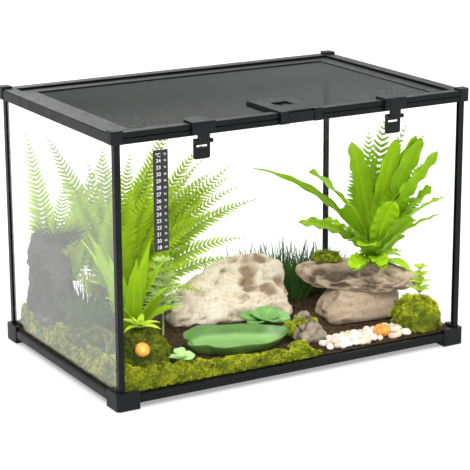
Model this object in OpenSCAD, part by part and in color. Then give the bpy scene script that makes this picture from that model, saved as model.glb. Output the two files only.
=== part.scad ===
// Furnished glass terrarium with a sliding screen lid.
// Millimetres, +Z up. X runs to the right, Y to the back, and the front faces -Y.
// The origin is on the floor under the middle of the tank.

/* [Overall] */
// Width over the plastic frames
body_w = 520; // [440:10:640]
// Depth over the plastic frames
body_d = 338; // [330:2:420]
// Height from the floor to the top of the corner caps
body_h = 350; // [350:5:450]

/* [Glass] */
// Thickness of the four wall panes
pane_t = 4; // [3:0.5:5]
// Thickness of the bottom pane
floor_t = 5; // [4:0.5:6]
// Leg of the silicone bead in each inside edge
bead = 3; // [2:0.5:4]

/* [Posts and base frame] */
// How far the posts stand back behind the frames
post_setback = 5; // [4:0.5:6]
// Wall of a corner post
post_wall = 1.6; // [1.2:0.1:2.4]
// Leg of a corner post
post_leg = 8; // [6.5:0.5:10]
// Height of a corner foot
foot_h = 23; // [20:1:30]
// Length of a foot along each side
foot_l = 31; // [25:1:40]
// Gap between the floor and the base rails
foot_drop = 7.5; // [5:0.5:10]
// Height of a base rail
base_rail_h = 10.5; // [10:0.5:12]
// Ledge under the panes, measured up
ledge_t = 3; // [2:0.5:4]
// How far the feet stand proud of the rails
foot_proud = 0.8; // [0.4:0.1:1.5]
// Chamfer on the upright edge of a foot and of a cap
corner_chamfer = 3; // [1:0.5:4]

/* [Top frame] */
// Height of the side rails
top_rail_h = 14; // [13.5:0.5:20]
// How far the corner caps stand above the rails
cap_rise = 3; // [2:0.5:5]
// Side of a square corner cap
cap_w = 15; // [13:0.5:18]
// Width of the ledge that carries the lid
lid_ledge = 5; // [4:0.5:8]
// How far the rim reaches over the lid
rim_reach = 3.5; // [2.5:0.5:5]
// Thickness of the rim over the lid
rim_t = 2.7; // [2:0.1:3.5]
// Bevel along the outer edges of the frames
edge_bevel = 0.8; // [0.4:0.1:1.2]
// How far the panes reach up into the rails
pane_grip = 2.6; // [2:0.2:4]
// Thickness of the ledge that carries the lid
shelf_t = 3; // [2:0.5:3.5]

/* [Lid] */
// Thickness of the lid frame
lid_t = 4.2; // [3.8:0.1:4.5]
// Width of the lid's side and back rails
lid_rail_w = 24; // [20:1:30]
// Depth of the lid's front rail
lid_front_w = 30; // [26:1:36]
// Depth of the raised strip on the front rail
strip_d = 13.4; // [10:0.2:16]
// Height of the raised strip
strip_h = 6.4; // [5:0.2:8]
// Shadow groove under the raised strip
groove_h = 1.4; // [0.8:0.2:2]
// Sliding clearance over and under the lid
slide_gap = 0.2; // [0.1:0.05:0.3]
// Clearance on the sides and the back of the lid
side_gap = 0.4; // [0.3:0.1:0.8]
// How far the mesh is tucked under the rails
mesh_tuck = 10; // [6:1:14]
// Thickness of the wire mesh
mesh_t = 0.6; // [0.4:0.1:0.8]
// Width of a mesh bar
mesh_bar = 1.4; // [1:0.2:2]
// Mesh gaps across the width
mesh_cols = 18; // [14:1:20]
// Mesh gaps over the depth
mesh_rows = 11; // [8:1:13]
// Width of the cord that holds the mesh
spline_w = 3; // [2:0.5:4]

/* [Lock] */
// Width of the lock housing
lock_w = 60; // [50:2:80]
// Reach of the housing over the mesh
lock_reach = 82; // [60:2:100]
// Thickness of the housing over the raised strip
lock_top_t = 1.8; // [1.4:0.2:2.4]
// How far the cheeks stand out in front
cheek_out = 3.6; // [3.4:0.2:5]
// Width of each cheek
cheek_w = 11.5; // [8:0.5:14]
// Height of the swinging flap under its pin
flap_drop = 11; // [8:0.5:12]
// Thickness of the flap
flap_t = 2.2; // [1.8:0.1:2.4]
// How far the flap bows out
flap_bow = 1.2; // [0.6:0.2:2]
// Radius of the flap's pin
flap_pin_r = 0.9; // [0.7:0.1:1]
// Radius of the padlock hole
lock_hole_r = 2.6; // [2:0.1:3.5]

/* [Clips] */
// Distance of the left clip from the middle
clip_left_x = 138; // [90:2:180]
// Distance of the right clip from the middle
clip_right_x = 141; // [90:2:180]
// Width of a clip cap
clip_w = 32; // [26:1:40]
// Length of the cap's rounded tongue
clip_tongue = 12; // [8:1:14]
// Thickness of the plate in front of the frame
clip_plate_t = 2.6; // [2:0.2:3.2]
// Gap between the plate and the frame
clip_gap = 0.4; // [0.3:0.1:1]
// Width of the neck under the plate
neck_w = 16; // [12:1:20]
// Drop of the pin under the frame
pin_drop = 7.5; // [6.5:0.5:9]
// Radius of the knuckle round the pin
knuckle_r = 2.6; // [2.2:0.1:3]
// Radius of the clip pin
pin_r = 1.2; // [0.9:0.1:1.4]
// Width of the lever
lever_w = 22.6; // [19:0.2:28]
// Length of the lever under its pin
lever_l = 22.5; // [18:0.5:30]
// Thickness of the lever
lever_t = 2.2; // [1.6:0.2:2.6]
// Width of the see-through slot
slot_w = 15.6; // [10:0.2:17]
// Height of the see-through slot
slot_h = 2.8; // [2:0.2:4]

/* [Thermometer] */
// Width of the strip
strip_w = 20; // [16:1:24]
// Length of the strip
strip_l = 126; // [110:2:140]
// Distance of the strip's middle from the left side
strip_x = 67; // [50:1:120]
// Distance of the strip's upper end from the top frame
strip_z = 13; // [4:1:60]

/* [Landscape] */
// Depth of the bedding at the right
bed_low = 4.5; // [3:0.5:8]
// Extra depth of the bedding at the left wall
bed_rise = 24; // [16:1:30]
// Length of the water dish
dish_l = 156; // [130:2:170]
// Width of the water dish
dish_w = 84; // [60:2:84]
// Height of the water dish
dish_h = 20; // [14:1:24]
// Wall of the water dish
dish_wall = 3; // [2.5:0.5:4]
// Height of the ledge rock over the floor pane
ledge_z = 46; // [40:1:54]
// Thickness of the ledge rock
ledge_rock_t = 30; // [22:1:34]
// Radius of a pebble
pebble_r = 6; // [4:0.5:7]
// Extra depth of the bedding behind the dish
bed_bank = 14; // [8:1:16]
// Thickness of a leaf
leaf_t = 1.4; // [1:0.1:2]
// Clearance between loose things
rest_gap = 0.3; // [0.2:0.05:0.4]

/* [Hidden] */

half_w = body_w / 2;
half_d = body_d / 2;

// Panes: pane_u is the distance from the frames' outer face to a pane's outer face.
pane_u = post_setback + post_wall;
pane_z = foot_drop + ledge_t;
in_u = pane_u + pane_t;
in_x = half_w - in_u;
in_y = half_d - in_u;
floor_z = pane_z + floor_t;
base_top = foot_drop + base_rail_h;
base_ledge = 8;
base_ledge_u = in_u + base_ledge;
base_wall = 2.4;

// Top frame
top_z = body_h - cap_rise;
frame_z = top_z - top_rail_h;
pane_top = frame_z + pane_grip;
groove_top = top_z - rim_t;
lid_top = groove_top - slide_gap;
lid_z = lid_top - lid_t;
shelf_z = lid_z - slide_gap;
inner_leg_t = 2.4;
inner_leg_u = in_u + inner_leg_t;
shelf_u = cap_w + lid_ledge;

// Lid: lid_u is the distance from the frames' outer face to the lid's edge.
lid_u = cap_w + side_gap;
lid_x = half_w - lid_u;
lid_y = half_d - lid_u;
front_u = edge_bevel;
lid_front_u = front_u + 1.6;
ridge_u = front_u - 0.2;
ridge_back_u = ridge_u + strip_d;
strip_z0 = lid_z + groove_h;
strip_top = strip_z0 + strip_h;
mesh_drop = 0.4;
mesh_z = lid_z + (lid_t - mesh_t) / 2 - mesh_drop;
mesh_edge = lid_rail_w - mesh_tuck;
mesh_x = lid_x - mesh_edge;
mesh_y_back = lid_y - mesh_edge;
mesh_y_front = -half_d + lid_front_w - mesh_tuck;
mesh_y_mid = (mesh_y_back + mesh_y_front) / 2;
mesh_len_y = mesh_y_back - mesh_y_front;

// Lock
lock_top = strip_top + lock_top_t;
lock_z = frame_z + 0.6;
flap_w = lock_w - 2 * cheek_w - 2;
flap_y = -half_d - cheek_out / 2;
pin_depth = 2.4;
flap_z = strip_top - pin_depth;
pin_press = 0.02;
recess_depth = 2.4;
latch_pin_l = lock_w - 8;
flap_knuckle = 1.5;
bow_r = (flap_w * flap_w / 4 + flap_bow * flap_bow) / (2 * flap_bow);
pin_fit = 0.05;

// Thermometer
film_t = 0.5;

// Clips
cap_t = 2.4;
clip_top = strip_top + cap_t;
plate_y = -half_d - clip_gap;
shoulder_z = frame_z + 1.3;
pin_y = plate_y;
pin_z = frame_z - pin_drop;
lever_y = pin_y + knuckle_r + 0.4;
lever_rise = 3;
ear_gap = 0.3;
ear_r = knuckle_r;
head_t = 1.4;
head_r = 2.8;

// Landscape: it is arranged for these inner half sizes and this ledge, and keeps its arrangement
// in another tank. Places follow share_x, share_y and share_z, round sizes and leaves share_r.
plan_x = 249.4;
plan_y = 158.4;
plan_ledge = 91.5;
bed_z = floor_z + bed_low;
bed_mid = bed_z + bed_bank;
ledge_low = floor_z + ledge_z;
ledge_high = ledge_low + ledge_rock_t;
share_x = in_x / plan_x;
share_y = in_y / plan_y;
share_z = ledge_high / plan_ledge;
share_r = min(share_x, share_y);
slope_right = 30 * share_x;
slope_left = -135 * share_x;
mound_x = -200 * share_x;
mound_y = -112 * share_y;
mound_z = 40 * share_z;
mound_r = 42 * share_r;
right_mound = [in_x - 35 * share_x, -in_y + 35 * share_y, 30 * share_z, 34 * share_r];
dish_x = -55 * share_x;
dish_y = -half_d + 67;
dish_tilt = atan2(bed_mid - bed_z, slope_right - slope_left);
dish_steps = 40;
// Clumps of needle grass are rows of [x, y, length].
grass_clumps = [
    [70, 112, 80], [112, 104, 76], [150, 110, 80], [186, 102, 74], [206, 68, 58], [134, 72, 66]
];
stone_left = [
    mound_x - 14 * share_r, mound_y - 36.4 * share_r, mound_z + 28 * share_r, 9 * share_r
];
stone_right = [150 * share_x, -in_y + 22, bed_z + 8, 11];
black = "#1b1d20";

function bed_at(x) = x > slope_right ? bed_z
    : x > slope_left ? bed_z + (bed_mid - bed_z) * (slope_right - x) / (slope_right - slope_left)
    : bed_mid + (bed_z + bed_rise - bed_mid) * (slope_left - x) / (slope_left + in_x);

// ---- Places: a piece drawn for the front or the front left corner is put where it belongs.

module along_x(length) {
    rotate([90, 0, 90]) linear_extrude(length, center = true) children();
}

module at_front() { translate([0, -half_d, 0]) children(); }
module at_back() { mirror([0, 1, 0]) at_front() children(); }
module at_left() { rotate([0, 0, -90]) translate([0, -half_w, 0]) children(); }
module at_right() { mirror([1, 0, 0]) at_left() children(); }

module at_corner(side, end) {
    mirror([side > 0 ? 1 : 0, 0, 0]) mirror([0, end > 0 ? 1 : 0, 0])
        translate([-half_w, -half_d, 0]) children();
}

// ---- Glass tank

module bottom_glass() {
    color([0.80, 0.92, 0.90, 0.5])
        translate([-in_x, -in_y, pane_z]) cube([2 * in_x, 2 * in_y, floor_t]);
}

module end_pane() {
    color([0.80, 0.92, 0.90, 0.35])
        translate([-in_x - pane_t, -pane_t, pane_z])
            cube([2 * (in_x + pane_t), pane_t, pane_top - pane_z]);
}

module side_pane() {
    color([0.80, 0.92, 0.90, 0.35])
        translate([-pane_t, -in_y, pane_z]) cube([pane_t, 2 * in_y, pane_top - pane_z]);
}

module front_glass() { translate([0, -in_y, 0]) end_pane(); }
module back_glass() { mirror([0, 1, 0]) front_glass(); }
module left_glass() { translate([-in_x, 0, 0]) side_pane(); }
module right_glass() { mirror([1, 0, 0]) left_glass(); }

module upright_bead() {
    translate([0, 0, floor_z]) linear_extrude(pane_top - floor_z)
        polygon([[0, 0], [bead, 0], [0, bead]]);
}

module floor_bead(length) {
    along_x(length) polygon([[0, floor_z], [bead, floor_z], [0, floor_z + bead]]);
}

module silicone_seals() {
    color("#222426") {
        for (side = [0, 1], end = [0, 1])
            mirror([side, 0, 0]) mirror([0, end, 0]) translate([-in_x, -in_y, 0]) upright_bead();
        translate([0, -in_y, 0]) floor_bead(2 * in_x);
        mirror([0, 1, 0]) translate([0, -in_y, 0]) floor_bead(2 * in_x);
        rotate([0, 0, -90]) translate([0, -in_x, 0]) floor_bead(2 * in_y);
        mirror([1, 0, 0]) rotate([0, 0, -90]) translate([0, -in_x, 0]) floor_bead(2 * in_y);
    }
}

// ---- Corner posts: an angle that wraps the outside of two panes

module post_outline() {
    a = post_setback;
    b = pane_u;
    c = post_setback + post_leg;
    polygon([[a, a], [c, a], [c, b], [b, b], [b, c], [a, c]]);
}

module corner_post(side, end) {
    color("#2a2d31") at_corner(side, end)
        translate([0, 0, pane_z]) linear_extrude(frame_z - pane_z) post_outline();
}

// ---- Base frame

module base_section() {
    polygon([
        [foot_proud, foot_drop], [base_ledge_u, foot_drop], [base_ledge_u, pane_z],
        [foot_proud + base_wall, pane_z], [foot_proud + base_wall, base_top - base_wall],
        [pane_u, base_top - base_wall], [pane_u, base_top],
        [foot_proud + edge_bevel, base_top], [foot_proud, base_top - edge_bevel]
    ]);
}

module base_rail_x() { color(black) at_front() along_x(body_w - 2 * foot_l) base_section(); }
module base_rail_y() { color(black) at_left() along_x(body_d - 2 * foot_l) base_section(); }
module base_rail_front() { base_rail_x(); }
module base_rail_back() { mirror([0, 1, 0]) base_rail_x(); }
module base_rail_left() { base_rail_y(); }
module base_rail_right() { mirror([1, 0, 0]) base_rail_y(); }

module angle_outline(width, chamfer) {
    polygon([
        [chamfer, 0], [foot_l, 0], [foot_l, width], [width, width], [width, foot_l],
        [0, foot_l], [0, chamfer]
    ]);
}

module foot(side, end) {
    color("#25282c") at_corner(side, end) {
        linear_extrude(pane_z) angle_outline(base_ledge_u, corner_chamfer);
        difference() {
            translate([0, 0, pane_z]) linear_extrude(foot_h - pane_z)
                angle_outline(pane_u, corner_chamfer);
            linear_extrude(body_h) post_outline();
        }
    }
}

// ---- Top frame: the panes stand in a channel, and the lid slides on a shelf under a rim

module pane_channel() {
    polygon([
        [front_u, frame_z], [pane_u, frame_z], [pane_u, pane_top], [in_u, pane_top],
        [in_u, frame_z], [inner_leg_u, frame_z], [inner_leg_u, shelf_z - shelf_t],
        [cap_w, shelf_z - shelf_t], [cap_w, shelf_z], [front_u, shelf_z]
    ]);
}

module rim_wall() {
    polygon([
        [front_u, shelf_z], [cap_w, shelf_z], [cap_w, top_z], [front_u + 2 * edge_bevel, top_z],
        [front_u, top_z - 2 * edge_bevel]
    ]);
}

module shelf() { translate([cap_w, shelf_z - shelf_t]) square([lid_ledge, shelf_t]); }
module rim() { translate([cap_w, groove_top]) square([rim_reach, rim_t]); }

module top_rail_front() {
    color(black) at_front() along_x(body_w - 2 * cap_w) {
        pane_channel();
        shelf();
    }
}

module top_rail_back() {
    color(black) at_back() along_x(body_w - 2 * cap_w) {
        pane_channel();
        rim_wall();
        shelf();
        rim();
    }
}

module top_rail_side() {
    color(black) at_left() {
        along_x(body_d - 2 * cap_w) {
            pane_channel();
            rim_wall();
        }
        along_x(body_d - 2 * shelf_u) shelf();
        translate([rim_reach / 2, 0, 0]) along_x(body_d - 2 * cap_w - rim_reach) rim();
    }
}

module top_rail_left() { top_rail_side(); }
module top_rail_right() { mirror([1, 0, 0]) top_rail_side(); }

module top_corner(side, end) {
    c = corner_chamfer;
    color("#202327") at_corner(side, end) difference() {
        translate([0, 0, frame_z]) linear_extrude(body_h - frame_z)
            polygon([[c, 0], [cap_w, 0], [cap_w, cap_w], [0, cap_w], [0, c]]);
        translate([pane_u, pane_u, 0]) cube([cap_w, pane_t, pane_top]);
        translate([pane_u, pane_u, 0]) cube([pane_t, cap_w, pane_top]);
        translate([in_u, in_u, 0]) cube([cap_w, cap_w, pane_top]);
    }
}

// ---- Thermometer strip on the outside of the front pane

module thermometer_strip() {
    color("#101113")
        translate([-half_w + strip_x - strip_w / 2, -half_d + pane_u - film_t, frame_z - strip_z - strip_l])
            cube([strip_w, film_t, strip_l]);
}

// ---- Sliding lid

module lid_section(width) {
    polygon([
        [0, lid_z], [width - mesh_tuck, lid_z], [width - mesh_tuck, mesh_z + mesh_t],
        [width, mesh_z + mesh_t], [width, lid_top - edge_bevel], [width - edge_bevel, lid_top],
        [0, lid_top]
    ]);
}

module lid_rail_front() {
    color("#202226") at_front() along_x(2 * lid_x) {
        translate([lid_front_u, 0]) lid_section(lid_front_w - lid_front_u);
        translate([ridge_u, strip_z0]) square([strip_d, strip_h]);
    }
}

module lid_rail_back() {
    color("#202226") mirror([0, 1, 0]) translate([0, -lid_y, 0])
        along_x(2 * lid_x) lid_section(lid_rail_w);
}

module lid_rail_side() {
    side_len = lid_y + half_d - lid_rail_w - lid_front_w;
    side_mid = (lid_y - lid_rail_w - half_d + lid_front_w) / 2;
    color("#202226") translate([0, side_mid, 0]) rotate([0, 0, -90]) translate([0, -lid_x, 0]) {
        along_x(side_len) lid_section(lid_rail_w);
        along_x(side_len + 2 * mesh_tuck) intersection() {
            lid_section(lid_rail_w);
            square([mesh_edge, mesh_z + mesh_t]);
        }
    }
}

module lid_rail_left() { lid_rail_side(); }
module lid_rail_right() { mirror([1, 0, 0]) lid_rail_side(); }

module lid_mesh() {
    cell_x = (2 * mesh_x - mesh_bar) / mesh_cols;
    cell_y = (mesh_len_y - mesh_bar) / mesh_rows;
    color([0.45, 0.46, 0.47, 0.6])
        translate([-mesh_x, mesh_y_front, mesh_z]) linear_extrude(mesh_t) difference() {
            square([2 * mesh_x, mesh_len_y]);
            for (i = [0 : mesh_cols - 1], j = [0 : mesh_rows - 1])
                translate([mesh_bar + i * cell_x, mesh_bar + j * cell_y])
                    square([cell_x - mesh_bar, cell_y - mesh_bar]);
        }
}

module mesh_spline() {
    color("#151617") translate([-mesh_x, mesh_y_front, lid_z])
        linear_extrude(mesh_z - lid_z) difference() {
            square([2 * mesh_x, mesh_len_y]);
            translate([spline_w, spline_w])
                square([2 * (mesh_x - spline_w), mesh_len_y - 2 * spline_w]);
        }
}

// ---- Lock: a housing over the front rail, and a flap that swings between its cheeks

module lock_section() {
    polygon([
        [-cheek_out, lock_z], [0, lock_z], [0, strip_top], [ridge_back_u, strip_top],
        [ridge_back_u, lid_top], [lid_front_w, lid_top],
        [lid_front_w, mesh_z + mesh_t], [lock_reach, mesh_z + mesh_t],
        [lock_reach, lock_top - 3], [lock_reach - 4, lock_top], [1 - cheek_out, lock_top],
        [-cheek_out, lock_top - 1]
    ]);
}

module lock_housing() {
    recess_y = -half_d + 34;
    color("#26292d") difference() {
        at_front() along_x(lock_w) lock_section();
        translate([-flap_w / 2 - 1, -half_d - cheek_out - 1, lock_z - 1])
            cube([flap_w + 2, cheek_out + 1, body_h]);
        translate([-12, recess_y, lock_top - recess_depth]) cube([24, 20, 3]);
        translate([0, recess_y + 14, lid_z]) cylinder(r = lock_hole_r, h = 20, $fn = 32);
        translate([0, flap_y, flap_z]) rotate([0, 90, 0])
            cylinder(r = flap_pin_r + pin_press, h = latch_pin_l, center = true, $fn = 32);
    }
}

module latch_flap() {
    front = flap_y - flap_t / 2 - flap_bow;
    color("#303338") difference() {
        union() {
            intersection() {
                translate([0, front + bow_r, flap_z - flap_drop])
                    difference() {
                        cylinder(r = bow_r, h = flap_drop, $fn = 180);
                        translate([0, 0, -1]) cylinder(r = bow_r - flap_t, h = flap_drop + 2, $fn = 180);
                    }
                translate([-flap_w / 2, front - 1, flap_z - flap_drop])
                    cube([flap_w, flap_t + flap_bow + 1, flap_drop]);
            }
            translate([0, flap_y, flap_z]) rotate([0, 90, 0])
                cylinder(r = flap_knuckle, h = flap_w, center = true, $fn = 32);
        }
        translate([0, flap_y, flap_z]) rotate([0, 90, 0])
            cylinder(r = flap_pin_r + pin_fit, h = flap_w + 2, center = true, $fn = 32);
    }
}

module latch_pin() {
    color("silver") translate([0, flap_y, flap_z]) rotate([0, 90, 0])
        cylinder(r = flap_pin_r, h = latch_pin_l, center = true, $fn = 32);
}

// ---- Clips: a cap on the lid's front rail with a neck, and a lever on a pin

module cap_outline() {
    arc_r = (clip_w * clip_w / 4 + clip_tongue * clip_tongue) / (2 * clip_tongue);
    back = lid_front_w - clip_tongue;
    intersection() {
        union() {
            translate([-clip_w / 2, -clip_gap - clip_plate_t])
                square([clip_w, back + clip_gap + clip_plate_t]);
            translate([0, back + clip_tongue - arc_r]) circle(arc_r, $fn = 96);
        }
        translate([-clip_w / 2, -10]) square([clip_w, 100]);
    }
}

module clip_cap() {
    plate_front = plate_y - clip_plate_t;
    color("#26292d") difference() {
        union() {
            at_front() difference() {
                translate([0, 0, lid_top]) linear_extrude(clip_top - lid_top) cap_outline();
                translate([-clip_w, -clip_gap, 0])
                    cube([2 * clip_w, ridge_back_u + clip_gap, strip_top]);
            }
            translate([-clip_w / 2, plate_front, shoulder_z])
                cube([clip_w, clip_plate_t, lid_top - shoulder_z]);
            translate([-neck_w / 2, plate_front, pin_z])
                cube([neck_w, clip_plate_t, shoulder_z - pin_z]);
            translate([0, pin_y, pin_z]) rotate([0, 90, 0])
                cylinder(r = knuckle_r, h = neck_w, center = true, $fn = 48);
            for (z = [clip_top - 1.4, clip_top - 4.4])
                translate([-clip_w / 2 + 1, plate_front - 0.5, z]) cube([clip_w - 2, 0.5, 1]);
        }
        translate([0, pin_y, pin_z]) rotate([0, 90, 0])
            cylinder(r = pin_r + pin_press, h = neck_w + 2, center = true, $fn = 32);
    }
}

module lever_outline() {
    corner = 3;
    low = -lever_l;
    difference() {
        union() {
            translate([-lever_w / 2, low + corner])
                square([lever_w, lever_l + lever_rise - corner]);
            translate([-lever_w / 2 + corner, low]) square([lever_w - 2 * corner, corner + 1]);
            for (x = [-1, 1])
                translate([x * (lever_w / 2 - corner), low + corner]) circle(corner, $fn = 32);
        }
        translate([-slot_w / 2, -knuckle_r - 2.6 - slot_h]) square([slot_w, slot_h]);
    }
}

module clip_lever() {
    ear_w = (lever_w - neck_w) / 2 - ear_gap;
    color("#2c2f34") translate([0, pin_y, pin_z]) difference() {
        union() {
            translate([0, lever_y - pin_y + lever_t, 0]) rotate([90, 0, 0])
                linear_extrude(lever_t) lever_outline();
            for (side = [-1, 1]) translate([side * (lever_w - ear_w) / 2, 0, 0]) {
                rotate([0, 90, 0]) cylinder(r = ear_r, h = ear_w, center = true, $fn = 48);
                translate([-ear_w / 2, 0, -ear_r]) cube([ear_w, lever_y - pin_y + 0.1, 2 * ear_r]);
            }
        }
        rotate([0, 90, 0])
            cylinder(r = pin_r + pin_fit, h = lever_w + 2, center = true, $fn = 32);
    }
}

module clip_pin() {
    color("silver") translate([0, pin_y, pin_z]) rotate([0, 90, 0]) {
        cylinder(r = pin_r, h = lever_w + 0.2, center = true, $fn = 32);
        for (side = [-1, 1])
            translate([0, 0, side * (lever_w / 2 + 0.1 + head_t / 2)])
                cylinder(r = head_r, h = head_t, center = true, $fn = 32);
    }
}

// ---- Landscape

module inside() {
    translate([-in_x + rest_gap, -in_y + rest_gap, floor_z])
        cube([2 * (in_x - rest_gap), 2 * (in_y - rest_gap), shelf_z - floor_z]);
}

module bed_shape() {
    left = -in_x + rest_gap;
    right = in_x - rest_gap;
    along_y = 2 * (in_y - rest_gap);
    rotate([90, 0, 0]) linear_extrude(along_y, center = true)
        polygon([
            [left, floor_z], [right, floor_z], [right, bed_z], [slope_right, bed_z],
            [slope_left, bed_mid], [left, bed_z + bed_rise]
        ]);
}

// What stands on the bedding is trimmed to it and to the panes.
module on_bed() {
    difference() {
        intersection() {
            children();
            inside();
        }
        bed_shape();
        translate([-body_w, -body_d, 0]) cube([2 * body_w, 2 * body_d, floor_z + 1]);
    }
}

module bedding() {
    color("#5b4a33") difference() {
        bed_shape();
        for (end = [-1, 1]) translate([0, end * in_y, floor_z])
            cube([body_w, 2 * bead, 2 * bead], center = true);
        for (side = [-1, 1]) translate([side * in_x, 0, floor_z])
            cube([2 * bead, body_d, 2 * bead], center = true);
        for (side = [-1, 1], end = [-1, 1]) translate([side * in_x, end * in_y, floor_z])
            cube([2 * bead, 2 * bead, body_h], center = true);
    }
}

// A rock is the hull of round lumps, cut flat at the heights where it rests and carries.
// Each lump is [x, y, z over base, radius].
module rock(lumps, low, high, base = 0) {
    on_bed() intersection() {
        hull() for (lump = lumps)
            translate([lump[0] * share_x, lump[1] * share_y, base + lump[2] * share_z])
                sphere(lump[3] * share_r, $fn = 14);
        translate([-half_w, -half_d, low]) cube([body_w, body_d, high - low]);
    }
}

module rock_slab() {
    color("#cbb28a") rock([
        [-82, 14, 40, 9], [-66, 60, 42, 9], [-30, 4, 35, 9], [40, 3, 31, 9], [88, 8, 28, 9],
        [74, 68, 28, 9], [-70, 30, 54, 9], [-42, 36, 70, 9], [-16, 42, 83, 9], [22, 48, 94, 9],
        [56, 48, 98, 9], [91, 42, 84, 8]
    ], floor_z, body_h);
}

module rock_ledge() {
    color("#9a8468") rock([
        [122, -18, 7, 9], [236, -96, 12, 7], [228, -58, 10, 10], [196, 14, 12, 9],
        [128, 26, 12, 9], [180, -82, 7, 9], [206, -40, 26, 8], [150, -10, 26, 8]
    ], ledge_low, ledge_high, ledge_low);
}

module rock_boulder() {
    color("#8f7c63") rock([
        [128, -62, 30, 13], [216, -68, 30, 13], [136, -18, 30, 13], [212, -16, 30, 13],
        [150, -58, 60, 12], [206, -56, 60, 12], [170, -20, 60, 12]
    ], floor_z, ledge_low);
}

module rock_small() {
    color("#85745f") rock([
        [42, -108, 26, 9], [72, -108, 26, 8], [44, -88, 30, 9], [72, -86, 30, 8],
        [54, -95, 50, 9]
    ], floor_z, body_h);
}

module rock_column() {
    color("#6b655c") rock([
        [-234, 44, 50, 12], [-234, 128, 50, 12], [-206, 60, 50, 12], [-208, 122, 50, 12],
        [-232, 60, 140, 13], [-232, 104, 146, 14], [-220, 82, 150, 12]
    ], floor_z, body_h);
}

module mound(x, y, z, r) { translate([x, y, z]) sphere(r, $fn = 32); }

module left_mounds() {
    mound(mound_x, mound_y, mound_z, mound_r);
    mound(-226 * share_x, -42 * share_y, 40 * share_z, 27 * share_r);
    mound(-224 * share_x, -4 * share_y, 42 * share_z, 25 * share_r);
}

module moss_left() {
    color("#6f8a1f") on_bed() left_mounds();
}

module moss_front() {
    front_y = -in_y + 10;
    strip_len = 108 * share_x;
    gaps = ceil(strip_len / 18 - 0.01);
    color("#8aa32a") on_bed() difference() {
        for (i = [0 : gaps])
            let (x = -138 * share_x + i * strip_len / gaps) mound(x, front_y, bed_at(x) + 1, 9.5);
        left_mounds();
    }
}

module moss_right() {
    color("#7d8f22") on_bed()
        mound(right_mound[0], right_mound[1], right_mound[2], right_mound[3]);
}

module moss_ledge() {
    color("#86a024") intersection() {
        mound(150 * share_x, 2 * share_y, ledge_high - 12 * share_r, 26 * share_r);
        translate([0, -half_d, ledge_high]) cube([half_w, body_d, 100]);
    }
}

module pebbles() {
    pitch = 1.7 * pebble_r;
    field_l = 96.39 * share_x;
    gaps = round(field_l / pitch / 1.05);
    color("#e9dcc8") on_bed() for (i = [0 : gaps], j = [0 : 3]) {
        x = 62 * share_x + i * field_l / gaps + (j % 2) * pitch / 2;
        y = -in_y + 1.2 * pebble_r + 1 + j * pitch * 0.9;
        away = norm([x - stone_right[0], y - stone_right[1]]);
        if (away > stone_right[3] + pebble_r + 1 && !(x < 90 * share_x && j > 2))
            translate([x, y, bed_z + 0.35 * pebble_r + (i * 7 + j * 5) % 3 * 0.4])
                sphere(pebble_r, $fn = 8);
    }
}

module orange_stones() {
    color("#e8902a") on_bed() difference() {
        for (s = [stone_left, stone_right]) translate([s[0], s[1], s[2]]) sphere(s[3], $fn = 32);
        left_mounds();
    }
}

// The dish is a leaf: rings of points from the outer foot over the rim to the inner floor.
function leaf_x(t, l) = l / 2 * cos(t);
function leaf_y(t, w) = w / 2 * sin(t) * pow(abs(sin(t / 2)), 0.45) * (1 + 0.03 * cos(9 * t));
function leaf_ring(l, w, z) = [
    for (i = [0 : dish_steps - 1])
        let (t = 360 * i / dish_steps) [leaf_x(t, l), leaf_y(t, w), z]
];
function ring_faces(n, rings) = [
    for (k = [0 : rings - 2], i = [0 : n - 1])
        [k * n + i, (k + 1) * n + i, (k + 1) * n + (i + 1) % n, k * n + (i + 1) % n]
];

module water_dish() {
    n = dish_steps;
    inner_l = dish_l - 4 * dish_wall;
    inner_w = dish_w - 3 * dish_wall;
    points = concat(
        leaf_ring(0.74 * dish_l, 0.66 * dish_w, 0),
        leaf_ring(0.88 * dish_l, 0.86 * dish_w, 0.35 * dish_h),
        leaf_ring(dish_l, dish_w, dish_h),
        leaf_ring(inner_l, inner_w, dish_h),
        leaf_ring(0.80 * inner_l, 0.78 * inner_w, dish_wall + 0.25 * dish_h),
        leaf_ring(0.68 * inner_l, 0.60 * inner_w, dish_wall)
    );
    faces = concat(
        [[for (i = [0 : n - 1]) i]],
        ring_faces(n, 6),
        [[for (i = [0 : n - 1]) 6 * n - 1 - i]]
    );
    color("#4f9a58") translate([dish_x, dish_y, bed_at(dish_x) + rest_gap])
        rotate([0, dish_tilt, 0]) polyhedron(points, faces);
}

// A leaf blade bends over as it rises: heading is its compass direction, rise its first slope,
// bend how far it turns over. It is a chain of flat boxes, each hulled to the next.
function blade_out(s, length, rise, bend) =
    length * 180 / PI / bend * (sin(rise) - sin(rise - bend * s));
function blade_up(s, length, rise, bend) =
    length * 180 / PI / bend * (cos(rise - bend * s) - cos(rise));
function blade_width(s, width) = 1.6 + width * pow(sin(180 * pow(0.04 + 0.92 * s, 0.85)), 0.7);

module blade_station(s, length, rise, bend, width) {
    translate([blade_out(s, length, rise, bend), 0, blade_up(s, length, rise, bend)])
        rotate([0, -(rise - bend * s), 0])
            cube([0.4, blade_width(s, width), leaf_t], center = true);
}

module blade(heading, rise, length, bend, width, steps) {
    rotate([0, 0, heading]) for (k = [1 : steps]) hull() {
        blade_station((k - 1) / steps, length, rise, bend, width);
        blade_station(k / steps, length, rise, bend, width);
    }
}

// A crown that stands on the bedding at x lies just clear of it on the uphill side.
function crown_z(x, r) = bed_at(x - r * share_r) + rest_gap;

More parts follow.
